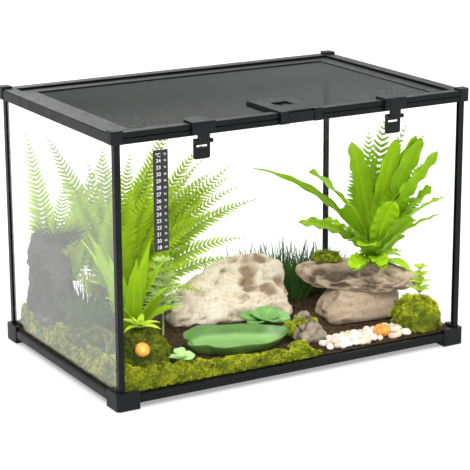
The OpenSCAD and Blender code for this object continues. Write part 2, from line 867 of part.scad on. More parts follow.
// Leaves are rows of [heading, rise, length, bend, width].
module tuft(leaves, crown_r, crown_h, steps = 5) {
    cylinder(r = crown_r * share_r, h = crown_h * share_r, $fn = 12);
    translate([0, 0, 0.5 * crown_h * share_r]) for (leaf = leaves)
        blade(leaf[0], leaf[1], leaf[2] * share_r, leaf[3], leaf[4] * share_r, steps);
}

module fern() {
    crown_x = -140 * share_x;
    color("#7fb82e") translate([crown_x, 76 * share_y, crown_z(crown_x, 10)]) tuft([
        [128, 80, 262, 22, 34], [205, 80, 244, 26, 34], [243, 74, 222, 34, 36],
        [318, 76, 262, 30, 40], [345, 68, 258, 34, 40], [354, 60, 262, 52, 38],
        [92, 84, 216, 24, 34], [282, 66, 180, 60, 36], [58, 82, 214, 24, 34]
    ], 9, 12);
}

module birds_nest_fern() {
    color("#7ec41f") translate([200 * share_x, -38 * share_y, ledge_high]) tuft([
        [178, 74, 176, 40, 30], [160, 66, 226, 52, 22], [100, 84, 168, 20, 32],
        [300, 80, 196, 22, 30], [288, 76, 160, 30, 30], [262, 74, 120, 34, 32],
        [228, 60, 84, 60, 30], [60, 80, 130, 30, 30], [330, 84, 120, 20, 22],
        [205, 40, 60, 70, 24], [140, 56, 120, 60, 26]
    ], 8, 8, 4);
}

module strap_leaf_plant() {
    crown_x = -168 * share_x;
    color("#8ccf2c") translate([crown_x, -28 * share_y, crown_z(crown_x, 8)]) tuft([
        [190, 80, 170, 24, 24], [250, 76, 150, 30, 24], [288, 70, 120, 40, 24],
        [120, 84, 118, 20, 22], [150, 78, 150, 24, 22], [350, 62, 80, 60, 22]
    ], 7, 10);
}

module succulent_rosette() {
    color("#4f9f86") translate([24 * share_x, -42 * share_y, bed_z + 1]) tuft([
        for (i = [0 : 7]) [i * 45 + 20, i % 2 == 0 ? 38 : 60, 32, 40, 20]
    ], 6, 9, 3);
}

module sprig(count, length, width, rise) {
    tuft([
        for (i = [0 : count - 1]) [i * 360 / count, i % 2 == 0 ? rise : rise + 16, length, 40, width]
    ], 5, 8, 3);
}

// Grass blades are slender cones that lean apart, so that they meet only in the crown.
module grass_clump(length) {
    root = 1.9 * share_r;
    tip = 0.8 * share_r;
    foot = 4 * share_r;
    cylinder(r = 9 * share_r, h = 10 * share_r, $fn = 12);
    for (i = [0 : 6])
        rotate([0, 0, i * 360 / 7 + 4]) translate([5.4 * share_r, 0, foot])
            rotate([0, 8 + i % 3 * 6, 0])
                cylinder(r1 = root, r2 = tip, h = (length - i % 2 * 14) * share_r, $fn = 5);
    translate([0, 0, foot]) rotate([0, 2, 0])
        cylinder(r1 = root, r2 = tip, h = length * share_r, $fn = 5);
}

module small_plants() {
    color("#b5d334") {
        translate([mound_x, mound_y, mound_z + mound_r]) sprig(6, 27, 10, 40);
        translate([
            right_mound[0] + 5 * share_r, right_mound[1], right_mound[2] + right_mound[3] + 0.2
        ]) sprig(6, 26, 9, 56);
    }
    color("#2c5a1c") for (clump = grass_clumps)
        translate([clump[0] * share_x, clump[1] * share_y, bed_z]) grass_clump(clump[2]);
}

// ---- The assembly

bottom_glass();
front_glass();
back_glass();
left_glass();
right_glass();
silicone_seals();
corner_post(-1, -1);  // corner_post_front_left
corner_post(1, -1);  // corner_post_front_right
corner_post(-1, 1);  // corner_post_back_left
corner_post(1, 1);  // corner_post_back_right
base_rail_front();
base_rail_back();
base_rail_left();
base_rail_right();
foot(-1, -1);  // foot_front_left
foot(1, -1);  // foot_front_right
foot(-1, 1);  // foot_back_left
foot(1, 1);  // foot_back_right
top_rail_front();
top_rail_back();
top_rail_left();
top_rail_right();
top_corner(-1, -1);  // top_corner_front_left
top_corner(1, -1);  // top_corner_front_right
top_corner(-1, 1);  // top_corner_back_left
top_corner(1, 1);  // top_corner_back_right
thermometer_strip();
lid_rail_front();
lid_rail_back();
lid_rail_left();
lid_rail_right();
lid_mesh();
mesh_spline();
lock_housing();
latch_flap();
latch_pin();
translate([-clip_left_x, 0, 0]) clip_cap();  // clip_cap_left
translate([clip_right_x, 0, 0]) clip_cap();  // clip_cap_right
translate([-clip_left_x, 0, 0]) clip_lever();  // clip_lever_left
translate([clip_right_x, 0, 0]) clip_lever();  // clip_lever_right
translate([-clip_left_x, 0, 0]) clip_pin();  // clip_pin_left
translate([clip_right_x, 0, 0]) clip_pin();  // clip_pin_right
bedding();
rock_slab();
rock_ledge();
rock_boulder();
rock_small();
rock_column();
moss_left();
moss_front();
moss_right();
moss_ledge();
pebbles();
orange_stones();
water_dish();
fern();
birds_nest_fern();
strap_leaf_plant();
succulent_rosette();
small_plants();
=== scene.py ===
import math
import random

import bmesh
import bpy
import numpy as np
from mathutils import Matrix, Vector, noise


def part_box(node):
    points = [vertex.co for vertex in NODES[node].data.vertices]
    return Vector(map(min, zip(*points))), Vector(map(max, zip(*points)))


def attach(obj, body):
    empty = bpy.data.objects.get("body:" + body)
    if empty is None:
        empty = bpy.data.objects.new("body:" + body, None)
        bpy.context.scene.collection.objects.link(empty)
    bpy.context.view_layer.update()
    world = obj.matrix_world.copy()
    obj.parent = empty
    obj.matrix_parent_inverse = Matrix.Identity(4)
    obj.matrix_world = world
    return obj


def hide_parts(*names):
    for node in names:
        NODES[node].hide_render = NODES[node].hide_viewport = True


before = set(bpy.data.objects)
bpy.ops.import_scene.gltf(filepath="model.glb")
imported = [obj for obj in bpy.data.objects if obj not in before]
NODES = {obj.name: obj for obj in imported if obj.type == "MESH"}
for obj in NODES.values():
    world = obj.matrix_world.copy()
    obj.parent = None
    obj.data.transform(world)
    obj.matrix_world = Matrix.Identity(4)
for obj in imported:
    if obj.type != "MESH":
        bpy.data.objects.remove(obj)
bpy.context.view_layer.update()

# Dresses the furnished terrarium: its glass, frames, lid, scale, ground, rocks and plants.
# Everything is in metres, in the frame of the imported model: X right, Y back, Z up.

bl_info = {
    "name": "Terrarium dressing",
    "version": (1, 0, 0),
    "blender": (4, 5, 0),
    "location": "3D View > Sidebar > Terrarium",
    "description": "Models and paints the furnished terrarium round its packed frame",
    "category": "Object",
}

# Crowns of the plants and heights of the ground, as in the solids.
PANE_X = 0.2494
PANE_Y = 0.1584
FLOOR_TOP = 0.0155
MOSS_BANK_END = 0.042
# Room that moss mounds leave at the panes for their leaves.
MOSS_ROOM = 0.0050
BED_LOW = 0.020
BED_MID = 0.034
BED_HIGH = 0.044
SLOPE_RIGHT = 0.030
SLOPE_LEFT = -0.135
LEDGE_TOP = 0.0915
LEDGE_UNDER = 0.0615
FERN_CROWN = (-0.140, 0.076, 0.0356)
NEST_CROWN = (0.200, -0.038, 0.0915)
STRAP_CROWN = (-0.168, -0.028, 0.0378)
GRASS_LENGTH = 0.080
GRASS_CLUMPS = [
    (0.070, 0.112, 1.0), (0.112, 0.104, 0.95), (0.150, 0.110, 1.0), (0.186, 0.102, 0.92),
    (0.206, 0.068, 0.72), (0.134, 0.072, 0.82),
]
ROSETTE_CROWN = (0.024, -0.042, 0.0290)
LIME_CROWN = (-0.200, -0.112, 0.0835)
PALE_CROWN = (-0.158, -0.146, 0.0445)
YOUNG_CROWN = (0.205, -0.022, 0.0900)
SHOOT_X, SHOOT_Y = 0.2194, -0.1230
WHORL_X, WHORL_Y = -0.116, -0.016
DISH_CENTRE = (-0.055, -0.102)
ORANGE_RIGHT = (0.150, -0.1364, 0.0270)
ORANGE_LEFT = (-0.214, -0.1482, 0.0680)
# Room that rocks and leaves leave at the panes.
ROCK_ROOM = 0.0004
LEAF_ROOM = 0.0014
# The most that a rock's ridges stand out from its solid.
ROCK_PROUD = 0.0028
# Moss grows where a surface's normal points up more than this, on lumps this many to the metre.
MOSS_LEAST_Z = -0.25
MOSS_LUMPS = 62
# Distance between a frond's pairs of leaflets, and the longest frond.
LEAFLET_PITCH = 0.0068
LONGEST_FROND = 0.262
# Leaves turn their faces this way, to the front and up, and leaflets by this share.
LIGHT_SIDE = np.array((-0.42, -0.76, 0.50))
LEAFLET_LIT = 1.1
# The camera's azimuth, elevation and roll in degrees, its place, and its lens in mm.
CAMERA_ANGLES = (-29.98, 15.44, 0.26)
CAMERA_PLACE = (-1.2127, -2.1078, 0.8201)
CAMERA_LENS = 144.4


# ---- Settings that a user would change

def colour(name, description, value):
    """A colour setting."""
    return bpy.props.FloatVectorProperty(
        name=name, description=description, default=value, size=3, min=0, max=1, subtype="COLOR"
    )


def length(name, description, value):
    """A length setting in metres."""
    return bpy.props.FloatProperty(
        name=name, description=description, default=value, min=0, unit="LENGTH", precision=5
    )


class TerrariumSizes(bpy.types.PropertyGroup):
    """Sizes of the detailed pieces."""

    wire_pitch: length("Wire pitch", "Distance between the wires of the lid's mesh", 0.0016)
    wire_width: length("Wire thickness", "Thickness of a wire of the lid's mesh", 0.00036)
    edge_round: length("Edge rounding", "Width of the rounded edges of the plastic", 0.0005)
    rock_voxel: length("Rock detail", "Size of the smallest feature of a rock", 0.0017)
    moss_leaf: length("Moss leaf", "Length of a moss leaf", 0.0050)
    frond_leaflet: length("Leaflet length", "Longest leaflet of a fern frond", 0.029)
    pebble: length("Pebble size", "Radius of a pebble", 0.0062)


class TerrariumColours(bpy.types.PropertyGroup):
    """Colours of the finishes."""

    frame_black: colour("Frame", "Satin black plastic of the frames", (0.0050, 0.0056, 0.0062))
    foot_black: colour("Feet and caps", "Charcoal plastic of the feet and clips", (0.0085, 0.0095, 0.0105))
    wire_grey: colour("Wire", "Coated wire of the lid's mesh", (0.018, 0.020, 0.022))
    sandstone: colour("Sandstone", "Pale slab rock", (0.86, 0.69, 0.50))
    ledge_stone: colour("Ledge rock", "Grey brown rock", (0.44, 0.325, 0.230))
    moss_tip: colour("Moss tips", "Tips of the moss", (0.86, 0.88, 0.045))
    fern_green: colour("Fern", "Fern fronds", (0.46, 0.66, 0.020))
    nest_green: colour("Bird's-nest fern", "Broad leaves", (0.31, 0.53, 0.006))
    dish_green: colour("Dish", "Glazed leaf dish", (0.135, 0.31, 0.050))
    rosette_green: colour("Rosette", "Blue green paddle leaves", (0.185, 0.38, 0.105))


def sizes():
    """The sizes that a user would change."""
    return bpy.context.scene.terrarium_sizes


def colours():
    """The colours that a user would change."""
    return bpy.context.scene.terrarium_colours


# ---- Modelling helpers

def start(kind, name, **settings):
    """Adds a primitive with nothing else selected, and names it."""
    bpy.ops.object.select_all(action="DESELECT")
    getattr(bpy.ops.mesh, kind)(**settings)
    piece = bpy.context.object
    piece.name = piece.data.name = name
    return piece


def pick(piece):
    """Makes one piece the only selected and the active one."""
    bpy.ops.object.select_all(action="DESELECT")
    piece.hide_set(False)
    piece.select_set(True)
    bpy.context.view_layer.objects.active = piece


def modify(piece, kind, **settings):
    """Adds a modifier, sets it and applies it."""
    pick(piece)
    modifier = piece.modifiers.new(kind.title(), kind)
    for key, value in settings.items():
        setattr(modifier, key, value)
    bpy.ops.object.modifier_apply(modifier=modifier.name)
    return piece


def settle(piece):
    """Puts a piece's place, turn and scale into its mesh."""
    pick(piece)
    bpy.ops.object.transform_apply(location=True, rotation=True, scale=True)
    return piece


def join(parts, name):
    """Joins parts into one piece."""
    bpy.ops.object.select_all(action="DESELECT")
    for part in parts:
        part.select_set(True)
    bpy.context.view_layer.objects.active = parts[0]
    if len(parts) > 1:
        bpy.ops.object.join()
    parts[0].name = parts[0].data.name = name
    return parts[0]


def smooth(piece, angle=None):
    """Smooth shading, with edges sharper than the angle kept."""
    pick(piece)
    if angle is None:
        bpy.ops.object.shade_smooth()
    else:
        bpy.ops.object.shade_smooth_by_angle(angle=math.radians(angle))
    return piece


def copy_node(source, name):
    """A merged copy of a CAD node's mesh as a new piece."""
    piece = bpy.data.objects.new(name, NODES[source].data.copy())
    piece.data.name = name
    piece.data.materials.clear()
    bpy.context.scene.collection.objects.link(piece)
    pick(piece)
    bpy.ops.object.mode_set(mode="EDIT")
    bpy.ops.mesh.select_all(action="SELECT")
    bpy.ops.mesh.remove_doubles(threshold=0.00001)
    bpy.ops.mesh.normals_make_consistent(inside=False)
    bpy.ops.object.mode_set(mode="OBJECT")
    return piece


def points_of(piece):
    """A piece's vertices as rows of x, y and z."""
    flat = np.empty(len(piece.data.vertices) * 3)
    piece.data.vertices.foreach_get("co", flat)
    return flat.reshape(-1, 3)


def put_points(piece, points):
    """Moves a piece's vertices to these rows."""
    piece.data.vertices.foreach_set("co", np.asarray(points, dtype=float).ravel())
    piece.data.update()


def mark(piece, **values):
    """Stores a number for each point, such as how far along a leaf it is."""
    for key, value in values.items():
        attribute = piece.data.attributes.get(key) or piece.data.attributes.new(key, "FLOAT", "POINT")
        attribute.data.foreach_set("value", np.asarray(value, dtype=np.float32))


def marks_of(piece, key):
    """A number stored at each vertex under this key."""
    values = np.zeros(len(piece.data.vertices), dtype=np.float32)
    if key in piece.data.attributes:
        piece.data.attributes[key].data.foreach_get("value", values)
    return values


def repeat(template, places, name, tints=None):
    """Copies a modelled template to each 4x4 place, all in one mesh of their own, and removes it."""
    shape = points_of(template)
    along, across = marks_of(template, "along"), marks_of(template, "across")
    loops = np.empty(len(template.data.loops), dtype=np.int32)
    template.data.loops.foreach_get("vertex_index", loops)
    totals = np.empty(len(template.data.polygons), dtype=np.int32)
    template.data.polygons.foreach_get("loop_total", totals)
    count, size = len(places), len(shape)
    points = np.concatenate([shape @ m[:3, :3].T + m[:3, 3] for m in places])
    mesh = bpy.data.meshes.new(name)
    mesh.vertices.add(count * size)
    mesh.vertices.foreach_set("co", points.ravel())
    mesh.loops.add(count * len(loops))
    offsets = np.repeat(np.arange(count, dtype=np.int32) * size, len(loops))
    mesh.loops.foreach_set("vertex_index", np.tile(loops, count) + offsets)
    mesh.polygons.add(count * len(totals))
    all_totals = np.tile(totals, count)
    mesh.polygons.foreach_set("loop_start", np.concatenate([[0], np.cumsum(all_totals)[:-1]]))
    mesh.update(calc_edges=True)
    piece = bpy.data.objects.new(name, mesh)
    bpy.context.scene.collection.objects.link(piece)
    tint = np.zeros(count) if tints is None else np.asarray(tints)
    mark(piece, along=np.tile(along, count), across=np.tile(across, count), tint=np.repeat(tint, size))
    bpy.data.objects.remove(template)
    return smooth(piece, 50)


def axes(origin, forward, up, scale=1.0):
    """A 4x4 place: local X along forward, local Z near up."""
    x = np.array(forward, dtype=float)
    x /= np.linalg.norm(x)
    y = np.cross(up, x)
    y /= max(np.linalg.norm(y), 1e-9)
    z = np.cross(x, y)
    place = np.eye(4)
    place[:3, 0] = x * scale
    place[:3, 1] = y * scale
    place[:3, 2] = z * scale
    place[:3, 3] = origin
    return place


def wobble(point, scale, seed=0.0):
    """Smooth noise from -1 to 1 at a point in metres."""
    return noise.noise(Vector(point) * scale + Vector((seed, seed * 0.7, seed * 1.3)))


def ground(x):
    """Height of the bedding at x."""
    if x > SLOPE_RIGHT:
        return BED_LOW
    if x > SLOPE_LEFT:
        return BED_LOW + (BED_MID - BED_LOW) * (SLOPE_RIGHT - x) / (SLOPE_RIGHT - SLOPE_LEFT)
    return BED_MID + (BED_HIGH - BED_MID) * (SLOPE_LEFT - x) / (SLOPE_LEFT + PANE_X)


def inside_panes(point, margin):
    """True for a point that is more than the margin inside the four panes."""
    return abs(point[0]) < PANE_X - margin and abs(point[1]) < PANE_Y - margin

def clip_to_panes(points, room):
    """Keeps points at least this far inside the four panes."""
    points[:, 0] = np.clip(points[:, 0], -PANE_X + room, PANE_X - room)
    points[:, 1] = np.clip(points[:, 1], -PANE_Y + room, PANE_Y - room)

def finish_piece(piece, material, body, slot, *nodes):
    """Paints a piece, seats it on its body, and hides the nodes that it stands for."""
    piece.data.materials.clear()
    piece.data.materials.append(material)
    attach(piece, body)
    if nodes:
        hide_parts(*nodes)
    return piece


# ---- Material helpers

def node(tree, kind, **settings):
    """Adds a shader node with these settings."""
    made = tree.nodes.new("ShaderNode" + kind)
    for key, value in settings.items():
        if hasattr(made, key):
            setattr(made, key, value)
        else:
            made.inputs[key.replace("_", " ")].default_value = value
    return made


def feed(tree, source, target):
    """Links one socket to another."""
    tree.links.new(source, target)


def paint(tree, principled, tone):
    """Feeds a shader's base colour."""
    feed(tree, tone, principled.inputs["Base Color"])

def roughen(tree, principled, value):
    """Feeds a shader's roughness."""
    feed(tree, value, principled.inputs["Roughness"])

def object_coords(tree):
    """Places in the object's own coordinates."""
    return node(tree, "TexCoord").outputs["Object"]


def noise_value(tree, vector, scale, detail=3.0, roughness=0.55, distortion=0.0):
    """A noise texture read at these places."""
    made = node(tree, "TexNoise", Scale=scale, Detail=detail, Roughness=roughness, Distortion=distortion)
    feed(tree, vector, made.inputs["Vector"])
    return made.outputs["Fac"]


def ramp(tree, factor, stops):
    """A colour ramp. Each stop is (place, colour)."""
    made = node(tree, "ValToRGB")
    elements = made.color_ramp.elements
    while len(elements) < len(stops):
        elements.new(0.5)
    for element, (place, value) in zip(elements, stops):
        element.position = place
        element.color = (*value, 1)
    feed(tree, factor, made.inputs["Fac"])
    return made.outputs["Color"]


def grey_ramp(tree, factor, low, high, start_at=0.0, end_at=1.0):
    """Maps a factor from one range to another."""
    made = node(tree, "MapRange")
    feed(tree, factor, made.inputs["Value"])
    for key, value in (("From Min", start_at), ("From Max", end_at), ("To Min", low), ("To Max", high)):
        made.inputs[key].default_value = value
    return made.outputs["Result"]


def mix(tree, factor, a, b, blend="MIX"):
    """Mixes two colours, each a socket or a colour."""
    made = node(tree, "Mix", data_type="RGBA", blend_type=blend)
    for socket, value in ((made.inputs[0], factor), (made.inputs[6], a), (made.inputs[7], b)):
        if hasattr(value, "is_output"):
            feed(tree, value, socket)
        elif isinstance(value, (int, float)):
            socket.default_value = value
        else:
            socket.default_value = (*value[:3], 1)
    return made.outputs[2]


def maths(tree, operation, a, b=0.0, c=0.0):
    """One sum on sockets or numbers."""
    made = node(tree, "Math", operation=operation)
    for socket, value in zip(made.inputs, (a, b, c)):
        if hasattr(value, "is_output"):
            feed(tree, value, socket)
        else:
            socket.default_value = value
    return made.outputs[0]


def group(name, inputs, outputs):
    """A new node group with named inputs (name, value) and outputs (name, kind)."""
    tree = bpy.data.node_groups.new(name, "ShaderNodeTree")
    for key, value in inputs:
        socket = tree.interface.new_socket(
            name=key, in_out="INPUT",
            socket_type="NodeSocketVector" if value is None else "NodeSocketFloat",
        )
        if value is not None:
            socket.default_value = value
    for key, kind in outputs:
        tree.interface.new_socket(name=key, in_out="OUTPUT", socket_type=kind)
    return tree, tree.nodes.new("NodeGroupInput"), tree.nodes.new("NodeGroupOutput")


def moulded_grain_group():
    """Satin moulded plastic: slow shifts of tone, scuffed roughness and a fine spark-eroded grain."""
    if "Moulded grain" in bpy.data.node_groups:
        return bpy.data.node_groups["Moulded grain"]
    tree, given, out = group(
        "Moulded grain",
        [("Vector", None), ("Grain size", 2600.0), ("Scuff size", 60.0), ("Roughness", 0.4)],
        [("Tone", "NodeSocketFloat"), ("Roughness", "NodeSocketFloat"), ("Height", "NodeSocketFloat")],
    )
    slow = node(tree, "TexNoise", Detail=4.0, Roughness=0.6)
    feed(tree, given.outputs["Vector"], slow.inputs["Vector"])
    feed(tree, given.outputs["Scuff size"], slow.inputs["Scale"])
    fine = node(tree, "TexNoise", Detail=2.0, Roughness=0.5)
    feed(tree, given.outputs["Vector"], fine.inputs["Vector"])
    feed(tree, given.outputs["Grain size"], fine.inputs["Scale"])
    feed(tree, grey_ramp(tree, slow.outputs["Fac"], 0.0, 1.0, 0.3, 0.7), out.inputs["Tone"])
    change = grey_ramp(tree, slow.outputs["Fac"], -0.07, 0.09, 0.3, 0.7)
    feed(tree, maths(tree, "ADD", given.outputs["Roughness"], change), out.inputs["Roughness"])
    feed(tree, fine.outputs["Fac"], out.inputs["Height"])
    return tree


def stone_group():
    """Weathered stone: layered bands, pits and grain."""
    if "Weathered stone" in bpy.data.node_groups:
        return bpy.data.node_groups["Weathered stone"]
    tree, given, out = group(
        "Weathered stone",
        [("Vector", None), ("Patch size", 22.0), ("Grain size", 620.0), ("Layering", 0.4)],
        [("Patches", "NodeSocketFloat"), ("Pits", "NodeSocketFloat"), ("Height", "NodeSocketFloat")],
    )
    patch = node(tree, "TexNoise", Detail=6.0, Roughness=0.62, Distortion=0.5)
    feed(tree, given.outputs["Vector"], patch.inputs["Vector"])
    feed(tree, given.outputs["Patch size"], patch.inputs["Scale"])
    band = node(tree, "TexWave", wave_type="BANDS", bands_direction="Z", Scale=26.0, Distortion=9.0,
                Detail=4.0)
    feed(tree, given.outputs["Vector"], band.inputs["Vector"])
    banded = maths(tree, "MULTIPLY", band.outputs["Fac"], given.outputs["Layering"])
    rest = maths(tree, "SUBTRACT", 1.0, given.outputs["Layering"])
    patches = maths(tree, "MULTIPLY_ADD", patch.outputs["Fac"], rest, banded)
    pit = node(tree, "TexVoronoi", feature="SMOOTH_F1", Scale=190.0)
    feed(tree, given.outputs["Vector"], pit.inputs["Vector"])
    grain = node(tree, "TexNoise", Detail=5.0, Roughness=0.7)
    feed(tree, given.outputs["Vector"], grain.inputs["Vector"])
    feed(tree, given.outputs["Grain size"], grain.inputs["Scale"])
    feed(tree, grey_ramp(tree, patches, 0.0, 1.0, 0.32, 0.68), out.inputs["Patches"])
    feed(tree, grey_ramp(tree, pit.outputs["Distance"], 0.0, 1.0, 0.1, 0.6), out.inputs["Pits"])
    mixed = maths(tree, "MULTIPLY_ADD", pit.outputs["Distance"], 0.6, grain.outputs["Fac"])
    feed(tree, mixed, out.inputs["Height"])
    return tree


def leaf_group():
    """A leaf: a midrib, side veins that slant forward, and patches of tone."""
    if "Leaf veins" in bpy.data.node_groups:
        return bpy.data.node_groups["Leaf veins"]
    tree, given, out = group(
        "Leaf veins",
        [("Along", 0.0), ("Across", 0.0), ("Vector", None), ("Vein count", 30.0), ("Slant", 0.25)],
        [("Midrib", "NodeSocketFloat"), ("Veins", "NodeSocketFloat"), ("Patches", "NodeSocketFloat")],
    )
    off = maths(tree, "ABSOLUTE", given.outputs["Across"])
    feed(tree, grey_ramp(tree, off, 1.0, 0.0, 0.03, 0.16), out.inputs["Midrib"])
    slanted = maths(tree, "MULTIPLY", off, given.outputs["Slant"])
    place = maths(tree, "SUBTRACT", given.outputs["Along"], slanted)
    turns = maths(tree, "MULTIPLY", place, given.outputs["Vein count"])
    wave = maths(tree, "PINGPONG", turns, 0.5)
    feed(tree, grey_ramp(tree, wave, 1.0, 0.0, 0.0, 0.16), out.inputs["Veins"])
    patch = noise_value(tree, given.outputs["Vector"], 55.0, 3.0)
    feed(tree, grey_ramp(tree, patch, 0.0, 1.0, 0.3, 0.7), out.inputs["Patches"])
    return tree


def shader(name):
    """A material with one Principled shader, its tree and that shader."""
    material = bpy.data.materials.new(name)
    material.use_nodes = True
    tree = material.node_tree
    return material, tree, tree.nodes["Principled BSDF"]


def use_group(tree, made, **values):
    """Places a node group with these inputs."""
    placed = node(tree, "Group")
    placed.node_tree = made
    for key, value in values.items():
        socket = placed.inputs[key.replace("_", " ")]
        if hasattr(value, "is_output"):
            feed(tree, value, socket)
        else:
            socket.default_value = value
    return placed.outputs


def raise_bump(tree, principled, height, strength, distance):
    """Feeds a height to a shader's normal."""
    bump = node(tree, "Bump")
    bump.inputs["Strength"].default_value = strength
    bump.inputs["Distance"].default_value = distance
    feed(tree, height, bump.inputs["Height"])
    feed(tree, bump.outputs["Normal"], principled.inputs["Normal"])


def shade(value, factor):
    """A colour made lighter or darker."""
    return tuple(min(1.0, c * factor) for c in value)


def moulded(name, base, roughness, grain=2600.0, strength=0.25):
    """Satin moulded plastic."""
    material, tree, principled = shader(name)
    parts = use_group(
        tree, moulded_grain_group(), Vector=object_coords(tree), Grain_size=grain,
        Scuff_size=55.0, Roughness=roughness,
    )
    paint(tree, principled, mix(tree, parts["Tone"], shade(base, 0.82), shade(base, 1.30)))
    roughen(tree, principled, parts["Roughness"])
    principled.inputs["Specular IOR Level"].default_value = 0.16
    raise_bump(tree, principled, parts["Height"], strength, 0.00012)
    return material


def pane_glass(name, tint, index):
    """Glass that lets the lamps through to what stands behind it. A low index means little glare."""
    material, tree, principled = shader(name)
    smear = noise_value(tree, object_coords(tree), 9.0, 3.0)
    paint(tree, principled, mix(tree, smear, tint, (1, 1, 1)))
    roughen(tree, principled, grey_ramp(tree, smear, 0.0, 0.025, 0.45, 0.8))
    principled.inputs["Transmission Weight"].default_value = 1.0
    principled.inputs["IOR"].default_value = index
    clear = node(tree, "BsdfTransparent")
    clear.inputs["Color"].default_value = (0.97, 0.985, 0.975, 1)
    rays = node(tree, "LightPath")
    switch = node(tree, "MixShader")
    feed(tree, rays.outputs["Is Shadow Ray"], switch.inputs[0])
    feed(tree, principled.outputs[0], switch.inputs[1])
    feed(tree, clear.outputs[0], switch.inputs[2])
    feed(tree, switch.outputs[0], tree.nodes["Material Output"].inputs["Surface"])
    return material


def sealant(name):
    """Black silicone with a soft, uneven sheen."""
    material, tree, principled = shader(name)
    coords = object_coords(tree)
    uneven = noise_value(tree, coords, 140.0, 3.0)
    paint(tree, principled, mix(tree, uneven, (0.008, 0.008, 0.009), (0.022, 0.023, 0.025)))
    roughen(tree, principled, grey_ramp(tree, uneven, 0.28, 0.5, 0.3, 0.7))
    raise_bump(tree, principled, uneven, 0.4, 0.0004)
    return material


def stone(name, base, pale, dark, patch, layering, strength):
    """Weathered stone whose hollows are darkened as painted shade, so that the ridges stay pale, read from
    the point attribute relief.
    """
    material, tree, principled = shader(name)
    parts = use_group(
        tree, stone_group(), Vector=object_coords(tree), Patch_size=patch, Grain_size=640.0,
        Layering=layering,
    )
    relief = node(tree, "Attribute", attribute_name="relief").outputs["Fac"]
    body = mix(tree, parts["Patches"], base, pale)
    # Painted shade: where relief is low, in the hollows, the colour is darkened towards the dark colour.
    hollow = grey_ramp(tree, relief, 1.0, 0.0, 0.10, 0.52)
    shaded = mix(tree, maths(tree, "MULTIPLY", hollow, 0.82), body, dark)
    specks = grey_ramp(tree, parts["Pits"], 0.30, 0.0, 0.0, 0.5)
    paint(tree, principled, mix(tree, specks, shaded, shade(dark, 0.8)))
    roughen(tree, principled, grey_ramp(tree, parts["Patches"], 0.72, 0.92))
    principled.inputs["Specular IOR Level"].default_value = 0.12
    raise_bump(tree, principled, parts["Height"], strength, 0.0012)
    return material


def foliage(name, green, tip, base, vein, veins, slant, vein_share, gloss=0.42, bump=0.25):
    """Leaf finish: base to tip, midrib, side veins and a tone for each leaf."""
    material, tree, principled = shader(name)
    along = node(tree, "Attribute", attribute_name="along").outputs["Fac"]
    across = node(tree, "Attribute", attribute_name="across").outputs["Fac"]
    tint = node(tree, "Attribute", attribute_name="tint").outputs["Fac"]
    parts = use_group(
        tree, leaf_group(), Along=along, Across=across, Vector=object_coords(tree),
        Vein_count=veins, Slant=slant,
    )
    body = ramp(tree, along, [(0.0, base), (0.28, green), (1.0, tip)])
    # A low tint darkens a leaf: at random, and on fern fronds also near the crown as painted shade.
    tone = grey_ramp(tree, tint, 0.0, 1.0, -1.0, 1.0)
    body = mix(tree, tone, mix(tree, 1.0, body, (0.62, 0.70, 0.55), "MULTIPLY"), body)
    body = mix(tree, maths(tree, "MULTIPLY", parts["Patches"], 0.25), body, shade(green, 0.75))
    body = mix(tree, maths(tree, "MULTIPLY", parts["Veins"], vein_share), body, vein)
    body = mix(tree, maths(tree, "MULTIPLY", parts["Midrib"], 0.8), body, vein)
    paint(tree, principled, body)
    roughen(tree, principled, grey_ramp(tree, parts["Patches"], gloss, gloss + 0.15))
    principled.inputs["Specular IOR Level"].default_value = 0.14
    height = maths(tree, "MULTIPLY_ADD", parts["Veins"], -0.5, maths(tree, "MULTIPLY", parts["Midrib"], -1.0))
    raise_bump(tree, principled, height, bump, 0.0008)
    return material


def toned(name, green, tip, base, vein, *finish):
    """Foliage whose tip, base and veins are shades of one green."""
    return foliage(name, green, shade(green, tip), shade(green, base), shade(green, vein), *finish)

def mossy(name, tip, middle, root):
    """Moss: dark between the leaves, yellow green at the tips."""
    material, tree, principled = shader(name)
    along = node(tree, "Attribute", attribute_name="along").outputs["Fac"]
    tint = node(tree, "Attribute", attribute_name="tint").outputs["Fac"]
    body = ramp(tree, along, [(0.0, root), (0.5, middle), (1.0, tip)])
    coords = object_coords(tree)
    patch = noise_value(tree, coords, 46.0, 4.0)
    tone = grey_ramp(tree, patch, 0.0, 1.0, 0.34, 0.62)
    body = mix(tree, tone, mix(tree, 1.0, body, (0.34, 0.46, 0.32), "MULTIPLY"), body)
    # Tufts with a high tint are painted lighter: partly at random, and partly as painted light on the lumps,
    # since tufts in the creases between lumps get low tints.
    lighter = grey_ramp(tree, tint, 0.0, 0.7, 0.2, 1.0)
    body = mix(tree, lighter, body, mix(tree, 1.0, body, (1.5, 1.35, 1.2), "MULTIPLY"))
    paint(tree, principled, body)
    roughen(tree, principled, grey_ramp(tree, patch, 0.6, 0.85))
    principled.inputs["Specular IOR Level"].default_value = 0.06
    raise_bump(tree, principled, noise_value(tree, coords, 900.0, 2.0), 0.4, 0.0005)
    return material


# ---- Leaves

def arch(s, rise, reach, bend):
    """How far out and up a leaf's midline is at share s of its length, and its slope there."""
    turn = math.radians(bend)
    first = math.radians(rise)
    slope = first - turn * s
    out = reach / turn * (math.sin(first) - math.sin(slope))
    up = reach / turn * (math.cos(slope) - math.cos(first))
    return out, up, slope


def on_arch(crown, heading, s, rise, reach, bend):
    """A point of a leaf's midline, its forward, side and face directions."""
    out, up, slope = arch(s, rise, reach, bend)
    turn = math.radians(heading)
    flat = np.array([math.cos(turn), math.sin(turn), 0.0])
    point = np.array(crown) + flat * out + np.array([0, 0, up])
    forward = flat * math.cos(slope) + np.array([0, 0, math.sin(slope)])
    side = np.array([-math.sin(turn), math.cos(turn), 0.0])
    return point, forward, side, np.cross(forward, side)


